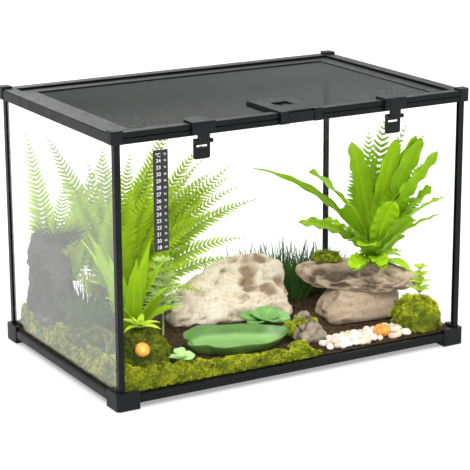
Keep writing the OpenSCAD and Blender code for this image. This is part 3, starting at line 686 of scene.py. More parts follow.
def face_light(forward, face, share):
    """Turns a leaf about its midline, so that its face looks more to the lamps and the front."""
    toward = face * math.copysign(1.0, float(face @ LIGHT_SIDE)) + LIGHT_SIDE * share
    toward = toward - forward * float(toward @ forward)
    toward = toward / max(np.linalg.norm(toward), 1e-9)
    return np.cross(toward, forward), toward


def nest_outline(t):
    """A long strap that is narrow at its foot and round at its tip."""
    return (0.22 + 0.78 * min(1.0, t / 0.45) ** 0.8) * max(0.0, 1 - max(0.0, (t - 0.72) / 0.28) ** 2.2) ** 0.5


def lance_outline(t):
    """A lance shape with a fine tip."""
    return (0.30 + 0.70 * math.sin(math.pi * min(1.0, t / 0.9) ** 0.8) ** 0.8) * (1 - t ** 5) ** 0.8


def paddle_outline(t):
    """A paddle that widens towards its round end."""
    return (0.20 + 0.80 * min(1.0, t / 0.62) ** 1.3) * max(0.0, 1 - max(0.0, (t - 0.62) / 0.38) ** 2.4) ** 0.5


def leaf_sheet(name, crown, leaf, outline, rows=26, columns=6, fold=0.25, ripple=0.0, waves=6.0,
               thickness=0.0008, tilt=0.0, seed=0.0, lit=0.0):
    """A leaf from a grid: it follows its arch, is cupped or folded, and ripples towards its edges."""
    heading, rise, reach, bend, width = leaf
    piece = start("primitive_grid_add", name, x_subdivisions=rows, y_subdivisions=columns, size=1)
    flat = points_of(piece)
    along, across = flat[:, 0] + 0.5, flat[:, 1] * 2
    shaped = []
    for t, s in zip(along, across):
        point, forward, side, face = on_arch(crown, heading, t, rise, reach, bend)
        if lit:
            side, face = face_light(forward, face, lit * t)
        roll = math.radians(tilt) * t
        swing, sway = math.cos(roll), math.sin(roll)
        side, face = side * swing + face * sway, face * swing - side * sway
        half = 0.5 * width * outline(t)
        wave = ripple * s * s * math.sin(waves * 2 * math.pi * t + seed + (1.3 if s > 0 else 0.0))
        stray = 0.04 * width * math.sin(3.1 * t + seed * 2)
        lift = fold * abs(s) * half + wave
        shaped.append(point + side * (s * half + stray) + face * lift)
    shaped = np.array(shaped)
    clip_to_panes(shaped, LEAF_ROOM)
    put_points(piece, shaped)
    mark(piece, along=along, across=across, tint=np.full(len(along), (math.sin(seed * 12.9) + 1) / 2))
    modify(piece, "SOLIDIFY", thickness=thickness, offset=0.0)
    return smooth(piece, 60)


def spike(name, reach, width):
    """A small pointed moss leaf or needle that stands on the origin along X."""
    piece = start("primitive_cone_add", name, vertices=4, radius1=width / 2, radius2=0, depth=reach,
                  location=(reach / 2, 0, 0), rotation=(0, math.pi / 2, 0))
    settle(piece)
    bpy.ops.object.mode_set(mode="EDIT")
    bpy.ops.mesh.select_all(action="SELECT")
    bpy.ops.mesh.bisect(plane_co=(reach * 0.4, 0, 0), plane_no=(1, 0, 0))
    bpy.ops.transform.resize(value=(1, 1.35, 1.35), center_override=(reach * 0.4, 0, 0))
    bpy.ops.object.mode_set(mode="OBJECT")
    mark(piece, along=points_of(piece)[:, 0] / reach)
    return piece


def leaflet(width):
    """A fern leaflet one unit long: toothed edges, a shallow fold and a drooping tip."""
    teeth = 10
    piece = start("primitive_grid_add", "leaflet", x_subdivisions=teeth, y_subdivisions=2, size=1)
    flat = points_of(piece)
    along, across = flat[:, 0] + 0.5, flat[:, 1] * 2
    shape = []
    for t, s in zip(along, across):
        tooth = 0.80 if round(t * teeth) % 2 else 1.0
        half = 0.5 * width * (0.5 + 0.5 * min(1.0, t / 0.15)) * (1 - t ** 2.4) ** 0.7 * tooth + 0.006
        shape.append((t + 0.06 * abs(s) * (1 - t), s * half, 0.18 * abs(s) * half - 0.20 * t ** 2.2))
    put_points(piece, shape)
    mark(piece, along=along, across=across)
    modify(piece, "SOLIDIFY", thickness=0.012, offset=0.0)
    return piece


def stem(name, points, radii):
    """A round tapering stem through points."""
    curve = bpy.data.curves.new(name, "CURVE")
    curve.dimensions = "3D"
    curve.bevel_depth = 1.0
    curve.bevel_resolution = 1
    curve.use_fill_caps = True
    line = curve.splines.new("POLY")
    line.points.add(len(points) - 1)
    for spot, point, radius in zip(line.points, points, radii):
        spot.co = (*point, 1)
        spot.radius = radius
    piece = bpy.data.objects.new(name, curve)
    bpy.context.scene.collection.objects.link(piece)
    pick(piece)
    bpy.ops.object.convert(target="MESH")
    piece = bpy.context.object
    count = len(piece.data.vertices)
    mark(piece, along=np.full(count, 0.35), across=np.zeros(count), tint=np.full(count, 0.2))
    return piece


# Leaves are (heading, rise, length, bend, width), as in the solids, with smaller ones between.
FERN_FRONDS = [
    (128, 80, 0.262, 22, 0.034), (205, 80, 0.244, 26, 0.034), (243, 74, 0.222, 34, 0.036),
    (318, 76, 0.262, 30, 0.040), (345, 68, 0.258, 34, 0.040), (354, 60, 0.262, 52, 0.038),
    (92, 84, 0.216, 24, 0.034), (282, 66, 0.180, 60, 0.036), (58, 82, 0.214, 24, 0.034),
    (300, 82, 0.236, 26, 0.036), (332, 60, 0.214, 56, 0.036), (264, 84, 0.250, 20, 0.034),
    (225, 66, 0.150, 60, 0.032), (14, 72, 0.226, 42, 0.036), (306, 54, 0.150, 66, 0.032),
    (180, 72, 0.112, 50, 0.030), (338, 76, 0.240, 40, 0.038), (350, 46, 0.190, 50, 0.032),
    (4, 74, 0.270, 34, 0.036), (340, 84, 0.272, 22, 0.036), (20, 80, 0.262, 26, 0.036),
    (328, 68, 0.250, 40, 0.036), (8, 62, 0.262, 44, 0.036), (72, 80, 0.240, 24, 0.036),
    (312, 70, 0.220, 44, 0.036), (356, 78, 0.236, 50, 0.036),
]
CORNER_CROWN = (-0.212, 0.112, 0.0440)
CORNER_FRONDS = [
    (110, 86, 0.250, 12, 0.034), (262, 82, 0.216, 24, 0.034), (300, 78, 0.236, 26, 0.034),
    (330, 70, 0.200, 34, 0.034), (268, 70, 0.190, 44, 0.034), (10, 80, 0.220, 26, 0.034),
]
YOUNG_FRONDS = [
    (20, 85, 0.200, 10, 0.03), (330, 82, 0.196, 12, 0.03), (60, 84, 0.176, 16, 0.03),
    (300, 74, 0.200, 14, 0.03), (90, 82, 0.140, 20, 0.03), (285, 68, 0.176, 18, 0.03),
    (312, 62, 0.130, 20, 0.03),
]
NEST_LEAVES = [
    (178, 74, 0.176, 40, 0.030), (160, 66, 0.226, 52, 0.020), (100, 84, 0.168, 20, 0.032),
    (300, 80, 0.196, 22, 0.030), (288, 76, 0.160, 30, 0.030), (262, 74, 0.120, 34, 0.032),
    (228, 60, 0.084, 60, 0.030), (60, 80, 0.130, 30, 0.030), (330, 84, 0.120, 20, 0.022),
    (205, 40, 0.060, 70, 0.024), (140, 56, 0.120, 60, 0.026), (314, 68, 0.150, 34, 0.024),
    (250, 46, 0.060, 70, 0.024), (345, 50, 0.046, 70, 0.018), (190, 62, 0.118, 44, 0.028),
    (276, 84, 0.186, 16, 0.026), (291, 72, 0.200, 26, 0.026), (286, 60, 0.166, 34, 0.026),
    (282, 50, 0.150, 26, 0.018), (296, 80, 0.196, 18, 0.024),
]
STRAP_LEAVES = [
    (190, 80, 0.170, 24, 0.022), (250, 76, 0.150, 30, 0.022), (288, 70, 0.120, 40, 0.022),
    (120, 84, 0.118, 20, 0.020), (150, 78, 0.150, 24, 0.020), (350, 62, 0.080, 60, 0.020),
    (275, 82, 0.160, 22, 0.020), (222, 68, 0.120, 46, 0.018), (320, 80, 0.130, 26, 0.018),
]


def draw_frond(leaf, crown, pairs, reach, places, tints, chance):
    """Places the leaflets of one frond and returns its stem."""
    heading, rise, span, bend, _ = leaf
    spots, radii = [], []
    lean = chance.uniform(-0.25, 0.25)
    for k in range(15):
        spots.append(on_arch(crown, heading, k / 14, rise, span, bend)[0])
        radii.append(0.0011 * (1 - 0.75 * k / 14))
    tone = chance.random()
    for k in range(pairs):
        t = 0.14 + 0.85 * k / (pairs - 1)
        point, forward, side, face = on_arch(crown, heading, t, rise, span, bend)
        side, face = face_light(forward, face, LEAFLET_LIT)
        size = reach * min(1.0, 0.45 + (t - 0.14) / 0.28) * (1 - 0.88 * max(0.0, (t - 0.36) / 0.64) ** 1.25)
        angle = math.radians(72 - 26 * t)
        for way in (-1, 1):
            swing = angle + chance.uniform(-0.06, 0.06)
            ahead = forward * math.cos(swing) + side * way * math.sin(swing)
            ahead = ahead + face * (0.16 + lean * way + chance.uniform(-0.08, 0.08))
            places.append(axes(point, ahead, face, size * chance.uniform(0.92, 1.06)))
            # Painted shade: leaflets low on the frond, near the crown, get a lower tint and so a darker
            # colour.
            tints.append(min(1.0, (tone * 0.7 + chance.uniform(0.0, 0.3)) * (0.25 + 0.90 * t)))
    return stem("frond_stem", spots, radii)


def grow_fronds(name, fronds, crown, width, chance, material, *nodes, root_room=0.001):
    """Fronds of one plant, each (leaf, pairs, reach), without the leaflets that would touch a pane."""
    places, tints, stems = [], [], []
    for leaf, pairs, reach in fronds:
        stems.append(draw_frond(leaf, crown, pairs, reach, places, tints, chance))
    inside = [
        k for k, place in enumerate(places)
        if inside_panes(place[:3, 3] + place[:3, 0] * 1.02, 0.0015) and inside_panes(place[:3, 3], root_room)
    ]
    leaves = repeat(leaflet(width), [places[k] for k in inside], "leaflets", [tints[k] for k in inside])
    return finish_piece(join([leaves] + stems, name), material, "tank", "green_leaf", *nodes)

# ---- Rocks and ground

def carve(node_name, name, voxel, change):
    """A rock from a merged copy of its solid: remeshed finely and worn by change(point), in metres."""
    piece = copy_node(node_name, name)
    modify(piece, "REMESH", mode="VOXEL", voxel_size=voxel, use_smooth_shade=True)
    points = points_of(piece)
    normals = np.empty(len(points) * 3)
    piece.data.vertex_normals.foreach_get("vector", normals)
    normals = normals.reshape(-1, 3)
    relief = np.empty(len(points))
    for index, point in enumerate(points):
        shift, relief[index] = change(point, normals[index])
        points[index] = point + normals[index] * shift
    clip_to_panes(points, ROCK_ROOM)
    put_points(piece, points)
    mark(piece, relief=relief)
    return smooth(piece)



def scallop(point, scale, stretch, seed):
    """0 in the middle of a chipped hollow and 1 on the ridge between hollows."""
    spot = Vector((point[0], point[1], point[2] * stretch)) * scale + Vector((seed, seed, -seed))
    near, second = noise.voronoi(spot)[0][:2]
    return max(0.0, min(1.0, 1.0 - (second - near) * 1.6)), near


def wear(scale, depth, chips, chip_depth, stretch, seed, seats):
    """A wear rule: broad ridges, chipped hollows, cracks and grit. Flat seats are left nearly flat."""
    def change(point, normal):
        broad = noise.fractal(Vector(point) * scale + Vector((seed, 0, -seed)), 0.8, 2.1, 4)
        sway = [wobble(point, 26, seed), wobble(point, 26, seed + 5), wobble(point, 40, seed + 9)]
        warped = point + np.array(sway) * 0.007
        _, near = scallop(warped, chips, stretch, seed)
        _, small_near = scallop(warped, chips * 2.3, stretch * 1.2, seed + 4)
        bowl = -(max(0.0, 1 - near * 1.5) ** 0.8) * chip_depth
        bowl -= max(0.0, 1 - small_near * 1.7) * chip_depth * 0.30
        crack = -max(0.0, 1 - abs(wobble(warped, 18, seed + 2)) / 0.035) * 0.0022
        grit = wobble(point, 260, seed) * 0.00045 + wobble(point, 120, seed) * 0.0006
        total = broad * depth + bowl + chip_depth * 0.42 + crack + grit
        total = min(total, ROCK_PROUD)
        if abs(normal[2]) > 0.6:
            keep = min([1.0] + [abs(point[2] - seat) / 0.006 for seat in seats])
            total = max(-0.0022, total) * (0.35 + 0.65 * min(1.0, keep)) if keep < 1 else total
            total = min(total, ROCK_PROUD * min(1.0, keep + 0.2))
        # Relief is low in the hollows, which the stone's material darkens as painted shade.
        relief = 0.5 + (total - grit) / (depth * 0.6 + chip_depth * 0.8)
        return total, max(0.0, min(1.0, relief))
    return change


def moss_tuft(reach):
    """A tuft of six moss leaves that lean outwards from one root."""
    leaves = []
    for k in range(6):
        leaf = spike("moss_leaf", reach * (0.75 + 0.07 * k), reach * 0.26)
        lean = math.radians(30 if k % 2 else 62)
        turn = 2 * math.pi * k / 6
        ahead = (math.cos(turn) * math.cos(lean), math.sin(turn) * math.cos(lean), math.sin(lean))
        leaf.data.transform(Matrix(axes((0, 0, 0), ahead, (0, 0, 1.01)).tolist()))
        leaves.append(leaf)
    return join(leaves, "moss_tuft")



def surface_spots(piece, count, chance):
    """Seeded random spots on a piece's surface, with normals, even by area."""
    mesh = piece.data
    mesh.calc_loop_triangles()
    triangles = np.empty(len(mesh.loop_triangles) * 3, dtype=np.int32)
    mesh.loop_triangles.foreach_get("vertices", triangles)
    corners = points_of(piece)[triangles.reshape(-1, 3)]
    cross = np.cross(corners[:, 1] - corners[:, 0], corners[:, 2] - corners[:, 0])
    area = np.linalg.norm(cross, axis=1)
    normals = cross / np.maximum(area, 1e-15)[:, None]
    area = np.where(normals[:, 2] > MOSS_LEAST_Z, area, 0)
    chosen = chance.choice(len(area), count, p=area / area.sum())
    a, b = chance.random(count), chance.random(count)
    flip = a + b > 1
    a, b = np.where(flip, 1 - a, a), np.where(flip, 1 - b, b)
    spots = corners[chosen, 0] + a[:, None] * (corners[chosen, 1] - corners[chosen, 0])
    spots = spots + b[:, None] * (corners[chosen, 2] - corners[chosen, 0])
    return spots, normals[chosen]


def grow_moss(base, name, density, reach, seed):
    """Lumps a base mound and covers it with tufts, density in tufts per square centimetre."""
    points = points_of(base)
    middle = points.mean(axis=0)
    for index, point in enumerate(points):
        ridge, _ = scallop(point, MOSS_LUMPS, 1.0, seed)
        away = (point - middle) / max(np.linalg.norm(point - middle), 1e-6)
        lump = -0.0036 * ridge ** 2 + 0.0012 * wobble(point, 90, seed)
        points[index] = point + away * lump if point[2] > BED_LOW + 0.001 else point
    put_points(base, points)
    smooth(base)
    area = sum(face.area for face in base.data.polygons if face.normal.z > MOSS_LEAST_Z)
    chance = np.random.default_rng(seed)
    spots, normals = surface_spots(base, max(40, int(area * 1e4 * density)), chance)
    places, tints = [], []
    for spot, normal in zip(spots, normals):
        ridge, _ = scallop(spot, MOSS_LUMPS, 1.0, seed)
        up = normal * 0.8 + np.array([0, 0, 0.45]) + chance.normal(0, 0.22, 3)
        up /= np.linalg.norm(up)
        size = chance.uniform(0.7, 1.25) * (1.1 - 0.45 * ridge)
        if not inside_panes(spot + up * reach * size, 0.0012) or not inside_panes(spot, 0.0024):
            continue
        around = np.cross(up, (math.cos(chance.uniform(0, 6.28)), math.sin(chance.uniform(0, 6.28)), 0.3))
        places.append(axes(spot - up * 0.0006, around, up, size))
        # Painted shade: tufts in the creases between lumps get lower tints, so their colour is lightened
        # less.
        tints.append(chance.random() * (1 - 0.8 * ridge))
    tufts = repeat(moss_tuft(reach), places, name + "_tufts", tints)
    mark(base, along=np.full(len(points), 0.10), tint=np.zeros(len(points)), across=np.zeros(len(points)))
    return join([base, tufts], name)


# ---- Operators

class PieceOperator:
    """Shared by the operators of this file."""

    bl_options = {"REGISTER", "UNDO"}


PLASTIC_NODES = [n for n in NODES if n.startswith(("corner_post", "base_rail", "top_rail", "lid_rail"))]
CHARCOAL_STARTS = ("foot_", "top_corner", "clip_cap", "clip_lever", "lock_housing", "latch_flap")
CHARCOAL_NODES = [n for n in NODES if n.startswith(CHARCOAL_STARTS)]


def repaint(names, material):
    """Gives CAD nodes a material on their own slots."""
    for name in names:
        mesh = NODES[name].data
        mesh.materials.clear()
        mesh.materials.append(material)


def round_edges(names, width):
    """Live weld and bevel modifiers, so that the plastic catches the light along its edges."""
    for name in names:
        weld = NODES[name].modifiers.new("Weld", "WELD")
        weld.merge_threshold = 0.00001
        bevel = NODES[name].modifiers.new("Rounded edges", "BEVEL")
        bevel.width = width
        bevel.segments = 2
        bevel.limit_method = "ANGLE"
        bevel.angle_limit = math.radians(40)
        bevel.harden_normals = True


class TERRARIUM_OT_glass(PieceOperator, bpy.types.Operator):
    """Paints the panes and the black beads of sealant between them"""

    bl_idname = "terrarium.glass"
    bl_label = "Glass and sealant"

    def execute(self, context):
        repaint(["front_glass", "back_glass"], pane_glass("Low glare glass", (0.985, 0.995, 0.988), 1.08))
        repaint(["left_glass", "right_glass"], pane_glass("Side float glass", (0.97, 0.985, 0.98), 1.40))
        repaint(["bottom_glass"], pane_glass("Bottom glass", (0.90, 0.96, 0.93), 1.45))
        repaint(["silicone_seals"], sealant("Black sealant"))
        return {"FINISHED"}


class TERRARIUM_OT_frames(PieceOperator, bpy.types.Operator):
    """Paints and rounds the posts, rails, feet, caps and the lid's plastic"""

    bl_idname = "terrarium.frames"
    bl_label = "Frames, clips and lock"

    def execute(self, context):
        c = colours()
        repaint(PLASTIC_NODES, moulded("Satin black plastic", c.frame_black, 0.36))
        repaint(CHARCOAL_NODES, moulded("Charcoal plastic", c.foot_black, 0.42, 1900.0, 0.35))
        repaint(["mesh_spline"], sealant("Spline cord"))
        pins = ["latch_pin", "clip_pin_left", "clip_pin_right"]
        repaint(pins, moulded("Dark pin", shade(c.foot_black, 1.4), 0.3))
        round_edges(PLASTIC_NODES + CHARCOAL_NODES, sizes().edge_round)
        return {"FINISHED"}


class TERRARIUM_OT_lid_mesh(PieceOperator, bpy.types.Operator):
    """Strings the fine wire mesh of the lid, one wire at a time"""

    bl_idname = "terrarium.lid_mesh"
    bl_label = "Wire mesh"

    def execute(self, context):
        low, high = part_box("lid_mesh")
        pitch, width = sizes().wire_pitch, sizes().wire_width
        middle = (low + high) / 2
        parts = []
        for turned in (False, True):
            span = (high.y - low.y) if turned else (high.x - low.x)
            other = (high.x - low.x) if turned else (high.y - low.y)
            height = high.z - width * 0.55 if turned else low.z + width * 0.55
            wire = start("primitive_cylinder_add", "wire", vertices=4, radius=width / 2, depth=span,
                         rotation=(math.pi / 2, 0, 0) if turned else (0, math.pi / 2, 0))
            settle(wire)
            count = int(other / pitch)
            places = []
            for k in range(count + 1):
                offset = (k - count / 2) * pitch
                place = np.eye(4)
                across, along = (offset, 0) if turned else (0, offset)
                place[:3, 3] = (middle.x + across, middle.y + along, height)
                places.append(place)
            parts.append(repeat(wire, places, "wires"))
        material, tree, principled = shader("Coated wire")
        coords = object_coords(tree)
        # The wire's colour and roughness vary in broad random blotches.
        broad_mottle = noise_value(tree, coords, 14.0, 3.0)
        grey, mottle = colours().wire_grey, grey_ramp(tree, broad_mottle, 0.0, 1.0, 0.35, 0.65)
        paint(tree, principled, mix(tree, mottle, shade(grey, 0.75), shade(grey, 1.25)))
        roughen(tree, principled, grey_ramp(tree, broad_mottle, 0.42, 0.58))
        finish_piece(join(parts, "lid_wires"), material, "lid", "mesh_steel", "lid_mesh")
        return {"FINISHED"}


class TERRARIUM_OT_scale(PieceOperator, bpy.types.Operator):
    """Prints the plain degrees scale on the thermometer strip"""

    bl_idname = "terrarium.scale"
    bl_label = "Thermometer scale"

    def execute(self, context):
        low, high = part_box("thermometer_strip")
        middle = (low.x + high.x) / 2
        film, tree, principled = shader("Black film")
        coords = object_coords(tree)
        sheen = noise_value(tree, coords, 40.0, 2.0)
        paint(tree, principled, mix(tree, sheen, (0.004, 0.004, 0.005), (0.012, 0.012, 0.013)))
        roughen(tree, principled, grey_ramp(tree, sheen, 0.2, 0.34))
        repaint(["thermometer_strip"], film)
        celsius = [34, 33, 30, 29, 28, 27, 26, 25, 24, 23, 22, 21, 20, 18]
        fahrenheit = [93, 91, 86, 84, 82, 81, 79, 77, 75, 73, 72, 70, 68, 64]
        first, pitch = high.z - 0.0136, 0.00827
        words = [
            ("°C", middle - 0.0036, high.z - 0.0066, 0.0066),
            ("°F", middle + 0.0056, high.z - 0.0062, 0.0044),
        ]
        for k, (warm, other) in enumerate(zip(celsius, fahrenheit)):
            words.append((str(warm), middle - 0.0030, first - k * pitch, 0.0066))
            words.append((str(other), middle + 0.0060, first - k * pitch, 0.0036))
        parts = []
        for text, x, z, size in words:
            bpy.ops.object.select_all(action="DESELECT")
            bpy.ops.object.text_add(location=(x, low.y - 0.00003, z), rotation=(math.pi / 2, 0, 0))
            word = bpy.context.object
            word.data.body = text
            word.data.size = size
            word.data.extrude = 0.00003
            word.data.offset = size * 0.016
            word.data.align_x = "CENTER"
            word.data.align_y = "CENTER"
            bpy.ops.object.convert(target="MESH")
            parts.append(settle(bpy.context.object))
        ink, tree, principled = shader("White ink")
        worn = noise_value(tree, object_coords(tree), 800.0, 2.0)
        paint(tree, principled, mix(tree, worn, (0.70, 0.71, 0.70), (0.92, 0.92, 0.90)))
        roughen(tree, principled, grey_ramp(tree, worn, 0.35, 0.55))
        finish_piece(join(parts, "thermometer_scale"), ink, "tank", "strip_film")
        return {"FINISHED"}


class TERRARIUM_OT_soil(PieceOperator, bpy.types.Operator):
    """Spreads the bedding with an uneven top and loose crumbs"""

    bl_idname = "terrarium.soil"
    bl_label = "Bedding"

    def execute(self, context):
        low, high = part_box("bedding")
        soil = start("primitive_grid_add", "soil_bed", x_subdivisions=150, y_subdivisions=96, size=1)
        flat = points_of(soil)
        top = []
        for x, y, _ in flat:
            px = low.x + (x + 0.5) * (high.x - low.x)
            py = low.y + (y + 0.5) * (high.y - low.y)
            rough = 0.0011 * wobble((px, py, 0), 70, 2) + 0.0007 * wobble((px, py, 0), 240, 4)
            # The moss banks along the front and left panes reach down to the floor pane.
            banked = (px < MOSS_BANK_END and py < -PANE_Y + 0.009) or px < -PANE_X + 0.009
            top.append((px, py, FLOOR_TOP + 0.001 if banked else ground(px) + rough - 0.0006))
        put_points(soil, top)
        bpy.ops.object.mode_set(mode="EDIT")
        bpy.ops.mesh.select_all(action="SELECT")
        bpy.ops.mesh.extrude_region_move()
        mesh = bmesh.from_edit_mesh(soil.data)
        for vertex in mesh.verts:
            if vertex.select:
                vertex.co.z = low.z + 0.0002
        bpy.ops.mesh.select_all(action="SELECT")
        bpy.ops.mesh.normals_make_consistent(inside=False)
        bpy.ops.object.mode_set(mode="OBJECT")
        smooth(soil, 50)
        crumb = start("primitive_ico_sphere_add", "crumb", subdivisions=1, radius=0.0016)
        crumb.data.transform(Matrix.Diagonal((1.3, 0.9, 0.6, 1)))
        chance = np.random.default_rng(5)
        places = []
        for _ in range(1500):
            x = chance.uniform(-PANE_X + 0.004, PANE_X - 0.004)
            y = chance.uniform(-PANE_Y + 0.004, PANE_Y - 0.004)
            turn = chance.uniform(0, 6.28)
            ahead = (math.cos(turn), math.sin(turn), chance.normal(0, 0.3))
            places.append(axes((x, y, ground(x)), ahead, (0, 0, 1), chance.uniform(0.5, 1.5)))
        crumbs = repeat(crumb, places, "crumbs", chance.random(len(places)))
        mark(soil, tint=np.full(len(soil.data.vertices), 0.3))
        material, tree, principled = shader("Forest bedding")
        coords = object_coords(tree)
        tint = node(tree, "Attribute", attribute_name="tint").outputs["Fac"]
        browns = [(0.25, (0.012, 0.008, 0.004)), (0.5, (0.045, 0.028, 0.014)), (0.75, (0.12, 0.075, 0.038))]
        body = ramp(tree, noise_value(tree, coords, 120.0, 6.0, 0.7), browns)
        body = mix(tree, grey_ramp(tree, tint, 0.0, 0.5), body, (0.16, 0.09, 0.04))
        paint(tree, principled, body)
        roughen(tree, principled, grey_ramp(tree, noise_value(tree, coords, 60.0, 2.0), 0.75, 0.95))
        principled.inputs["Specular IOR Level"].default_value = 0.08
        raise_bump(tree, principled, noise_value(tree, coords, 420.0, 4.0, 0.7), 0.8, 0.0016)
        finish_piece(join([soil, crumbs], "soil"), material, "tank", "soil", "bedding")
        return {"FINISHED"}


class TERRARIUM_OT_rocks(PieceOperator, bpy.types.Operator):
    """Carves the sandstone slab, the ledge, the boulder, the small rock and the column"""

    bl_idname = "terrarium.rocks"
    bl_label = "Rocks"

    def execute(self, context):
        c, voxel = colours(), sizes().rock_voxel
        # The last colour of each stone is the painted shade of its hollows; a darker tone of it also colours
        # the specks.
        sand = stone("Sandstone", c.sandstone, (0.98, 0.90, 0.76), (0.27, 0.165, 0.085), 30.0, 0.12, 0.9)
        brown = stone(
            "Brown stone", c.ledge_stone, (0.60, 0.46, 0.34), (0.050, 0.032, 0.018), 34.0, 0.20, 0.9)
        grey = stone(
            "Grey stone", (0.26, 0.205, 0.155), (0.46, 0.37, 0.29), (0.040, 0.029, 0.020), 34.0, 0.15, 0.9)
        shadow = stone(
            "Dark stone", (0.040, 0.037, 0.031), (0.105, 0.098, 0.085), (0.008, 0.007, 0.006),
            30.0, 0.15, 0.9)
        rocks = [
            ("rock_slab", "sandstone_slab", sand, wear(13, 0.0070, 36, 0.0085, 2.0, 3.0, (BED_LOW,))),
            ("rock_ledge", "ledge_rock", brown,
             wear(20, 0.0060, 36, 0.0075, 2.4, 7.0, (LEDGE_UNDER, LEDGE_TOP))),
            ("rock_boulder", "boulder", brown,
             wear(17, 0.0060, 30, 0.0065, 1.2, 11.0, (BED_LOW, LEDGE_UNDER))),
            ("rock_small", "small_rock", grey, wear(30, 0.0035, 50, 0.0030, 1.2, 15.0, (BED_LOW,))),
            ("rock_column", "column_rock", shadow, wear(15, 0.0100, 26, 0.0060, 0.7, 19.0, (BED_MID,))),
        ]
        for source, name, material, rule in rocks:
            slot = "tan_rock" if material is sand else "grey_rock"
            finish_piece(carve(source, name, voxel, rule), material, "tank", slot, source)
        return {"FINISHED"}


class TERRARIUM_OT_pebbles(PieceOperator, bpy.types.Operator):
    """Lays the pale pebbles and the orange stones"""

    bl_idname = "terrarium.pebbles"
    bl_label = "Pebbles"

    def shape(self, name, radius, stretch, seed, detail=3):
        """One rounded stone, a little lopsided."""
        piece = start("primitive_ico_sphere_add", name, subdivisions=detail, radius=radius)
        points = points_of(piece)
        for index, point in enumerate(points):
            lump = 1 + 0.11 * noise.noise(Vector(point) / radius * 0.9 + Vector((seed, 0, seed)))
            points[index] = point * lump * np.array(stretch)
        put_points(piece, points)
        return smooth(piece)

    def execute(self, context):
        chance = np.random.default_rng(21)
        radius = sizes().pebble
        pitch = 0.0102
        groups = [[] for _ in range(5)]
        tints = [[] for _ in range(5)]
        for row in range(5):
            for column in range(13):
                x = 0.058 + column * pitch * 0.98 + (row % 2) * pitch / 2 + chance.uniform(-0.0015, 0.0015)
                y = -PANE_Y + 0.0078 + row * pitch * 0.80 + chance.uniform(-0.0015, 0.0015)
                by_orange = math.hypot(x - ORANGE_RIGHT[0], y - ORANGE_RIGHT[1]) < 0.0155
                if by_orange or x > 0.186 or (x < 0.084 and row > 2):
                    continue
                kind = int(chance.integers(0, 5))
                turn = chance.uniform(0, 6.28)
                lift = 0.0030 + 0.0006 * (row % 3) + chance.uniform(0, 0.0022)
                ahead = (math.cos(turn), math.sin(turn), chance.normal(0, 0.16))
                size = chance.uniform(0.84, 1.16)
                groups[kind].append(axes((x, y, BED_LOW + lift), ahead, (0, 0, 1), size))
                tints[kind].append(chance.random())
        for _ in range(16):
            kind, turn = int(chance.integers(0, 5)), chance.uniform(0, 6.28)
            x, y = chance.uniform(0.066, 0.134), chance.uniform(-0.150, -0.128)
            ahead = (math.cos(turn), math.sin(turn), chance.normal(0, 0.2))
            groups[kind].append(axes((x, y, BED_LOW + 0.0088), ahead, (0, 0, 1), chance.uniform(0.75, 0.95)))
            tints[kind].append(chance.random())
        parts = []
        for kind, (places, tones) in enumerate(zip(groups, tints)):
            template = self.shape("pebble", radius, (1.04, 0.86 - 0.03 * kind, 0.66), kind * 3.7)
            parts.append(repeat(template, places, "pebbles", tones))
        for part in parts:
            smooth(part)
        material, tree, principled = shader("Pale pebble")
        coords = object_coords(tree)
        tint = node(tree, "Attribute", attribute_name="tint").outputs["Fac"]
        stops = [
            (0.0, (0.86, 0.80, 0.71)), (0.35, (0.90, 0.88, 0.83)), (0.62, (0.84, 0.68, 0.53)),
            (0.8, (0.72, 0.50, 0.38)), (1.0, (0.66, 0.63, 0.58)),
        ]
        stain = grey_ramp(tree, noise_value(tree, coords, 260.0, 5.0), 0.0, 0.35, 0.45, 0.7)
        body = mix(tree, stain, ramp(tree, tint, stops), (0.50, 0.38, 0.28))
        paint(tree, principled, body)
        roughen(tree, principled, grey_ramp(tree, noise_value(tree, coords, 500.0, 2.0), 0.34, 0.5))
        raise_bump(tree, principled, noise_value(tree, coords, 1100.0, 3.0), 0.12, 0.0004)
        finish_piece(join(parts, "pale_pebbles"), material, "tank", "cream_pebble", "pebbles")
        right = self.shape("orange_right", 0.0112, (1.15, 0.92, 0.78), 2.0, 4)
        right.data.transform(Matrix.Translation(ORANGE_RIGHT))
        left = self.shape("orange_left", 0.0092, (1.0, 1.0, 0.95), 5.0, 4)
        left.data.transform(Matrix.Translation(ORANGE_LEFT))
        material, tree, principled = shader("Orange stone")
        coords = object_coords(tree)
        marble = noise_value(tree, coords, 90.0, 6.0, 0.6, 1.2)
        ambers = [(0.3, (0.55, 0.16, 0.02)), (0.5, (0.86, 0.34, 0.035)), (0.7, (0.93, 0.56, 0.12))]
        paint(tree, principled, ramp(tree, marble, ambers))
        roughen(tree, principled, grey_ramp(tree, marble, 0.25, 0.4))
        finish_piece(join([right, left], "amber_stones"), material, "tank", "orange_stone", "orange_stones")
        return {"FINISHED"}


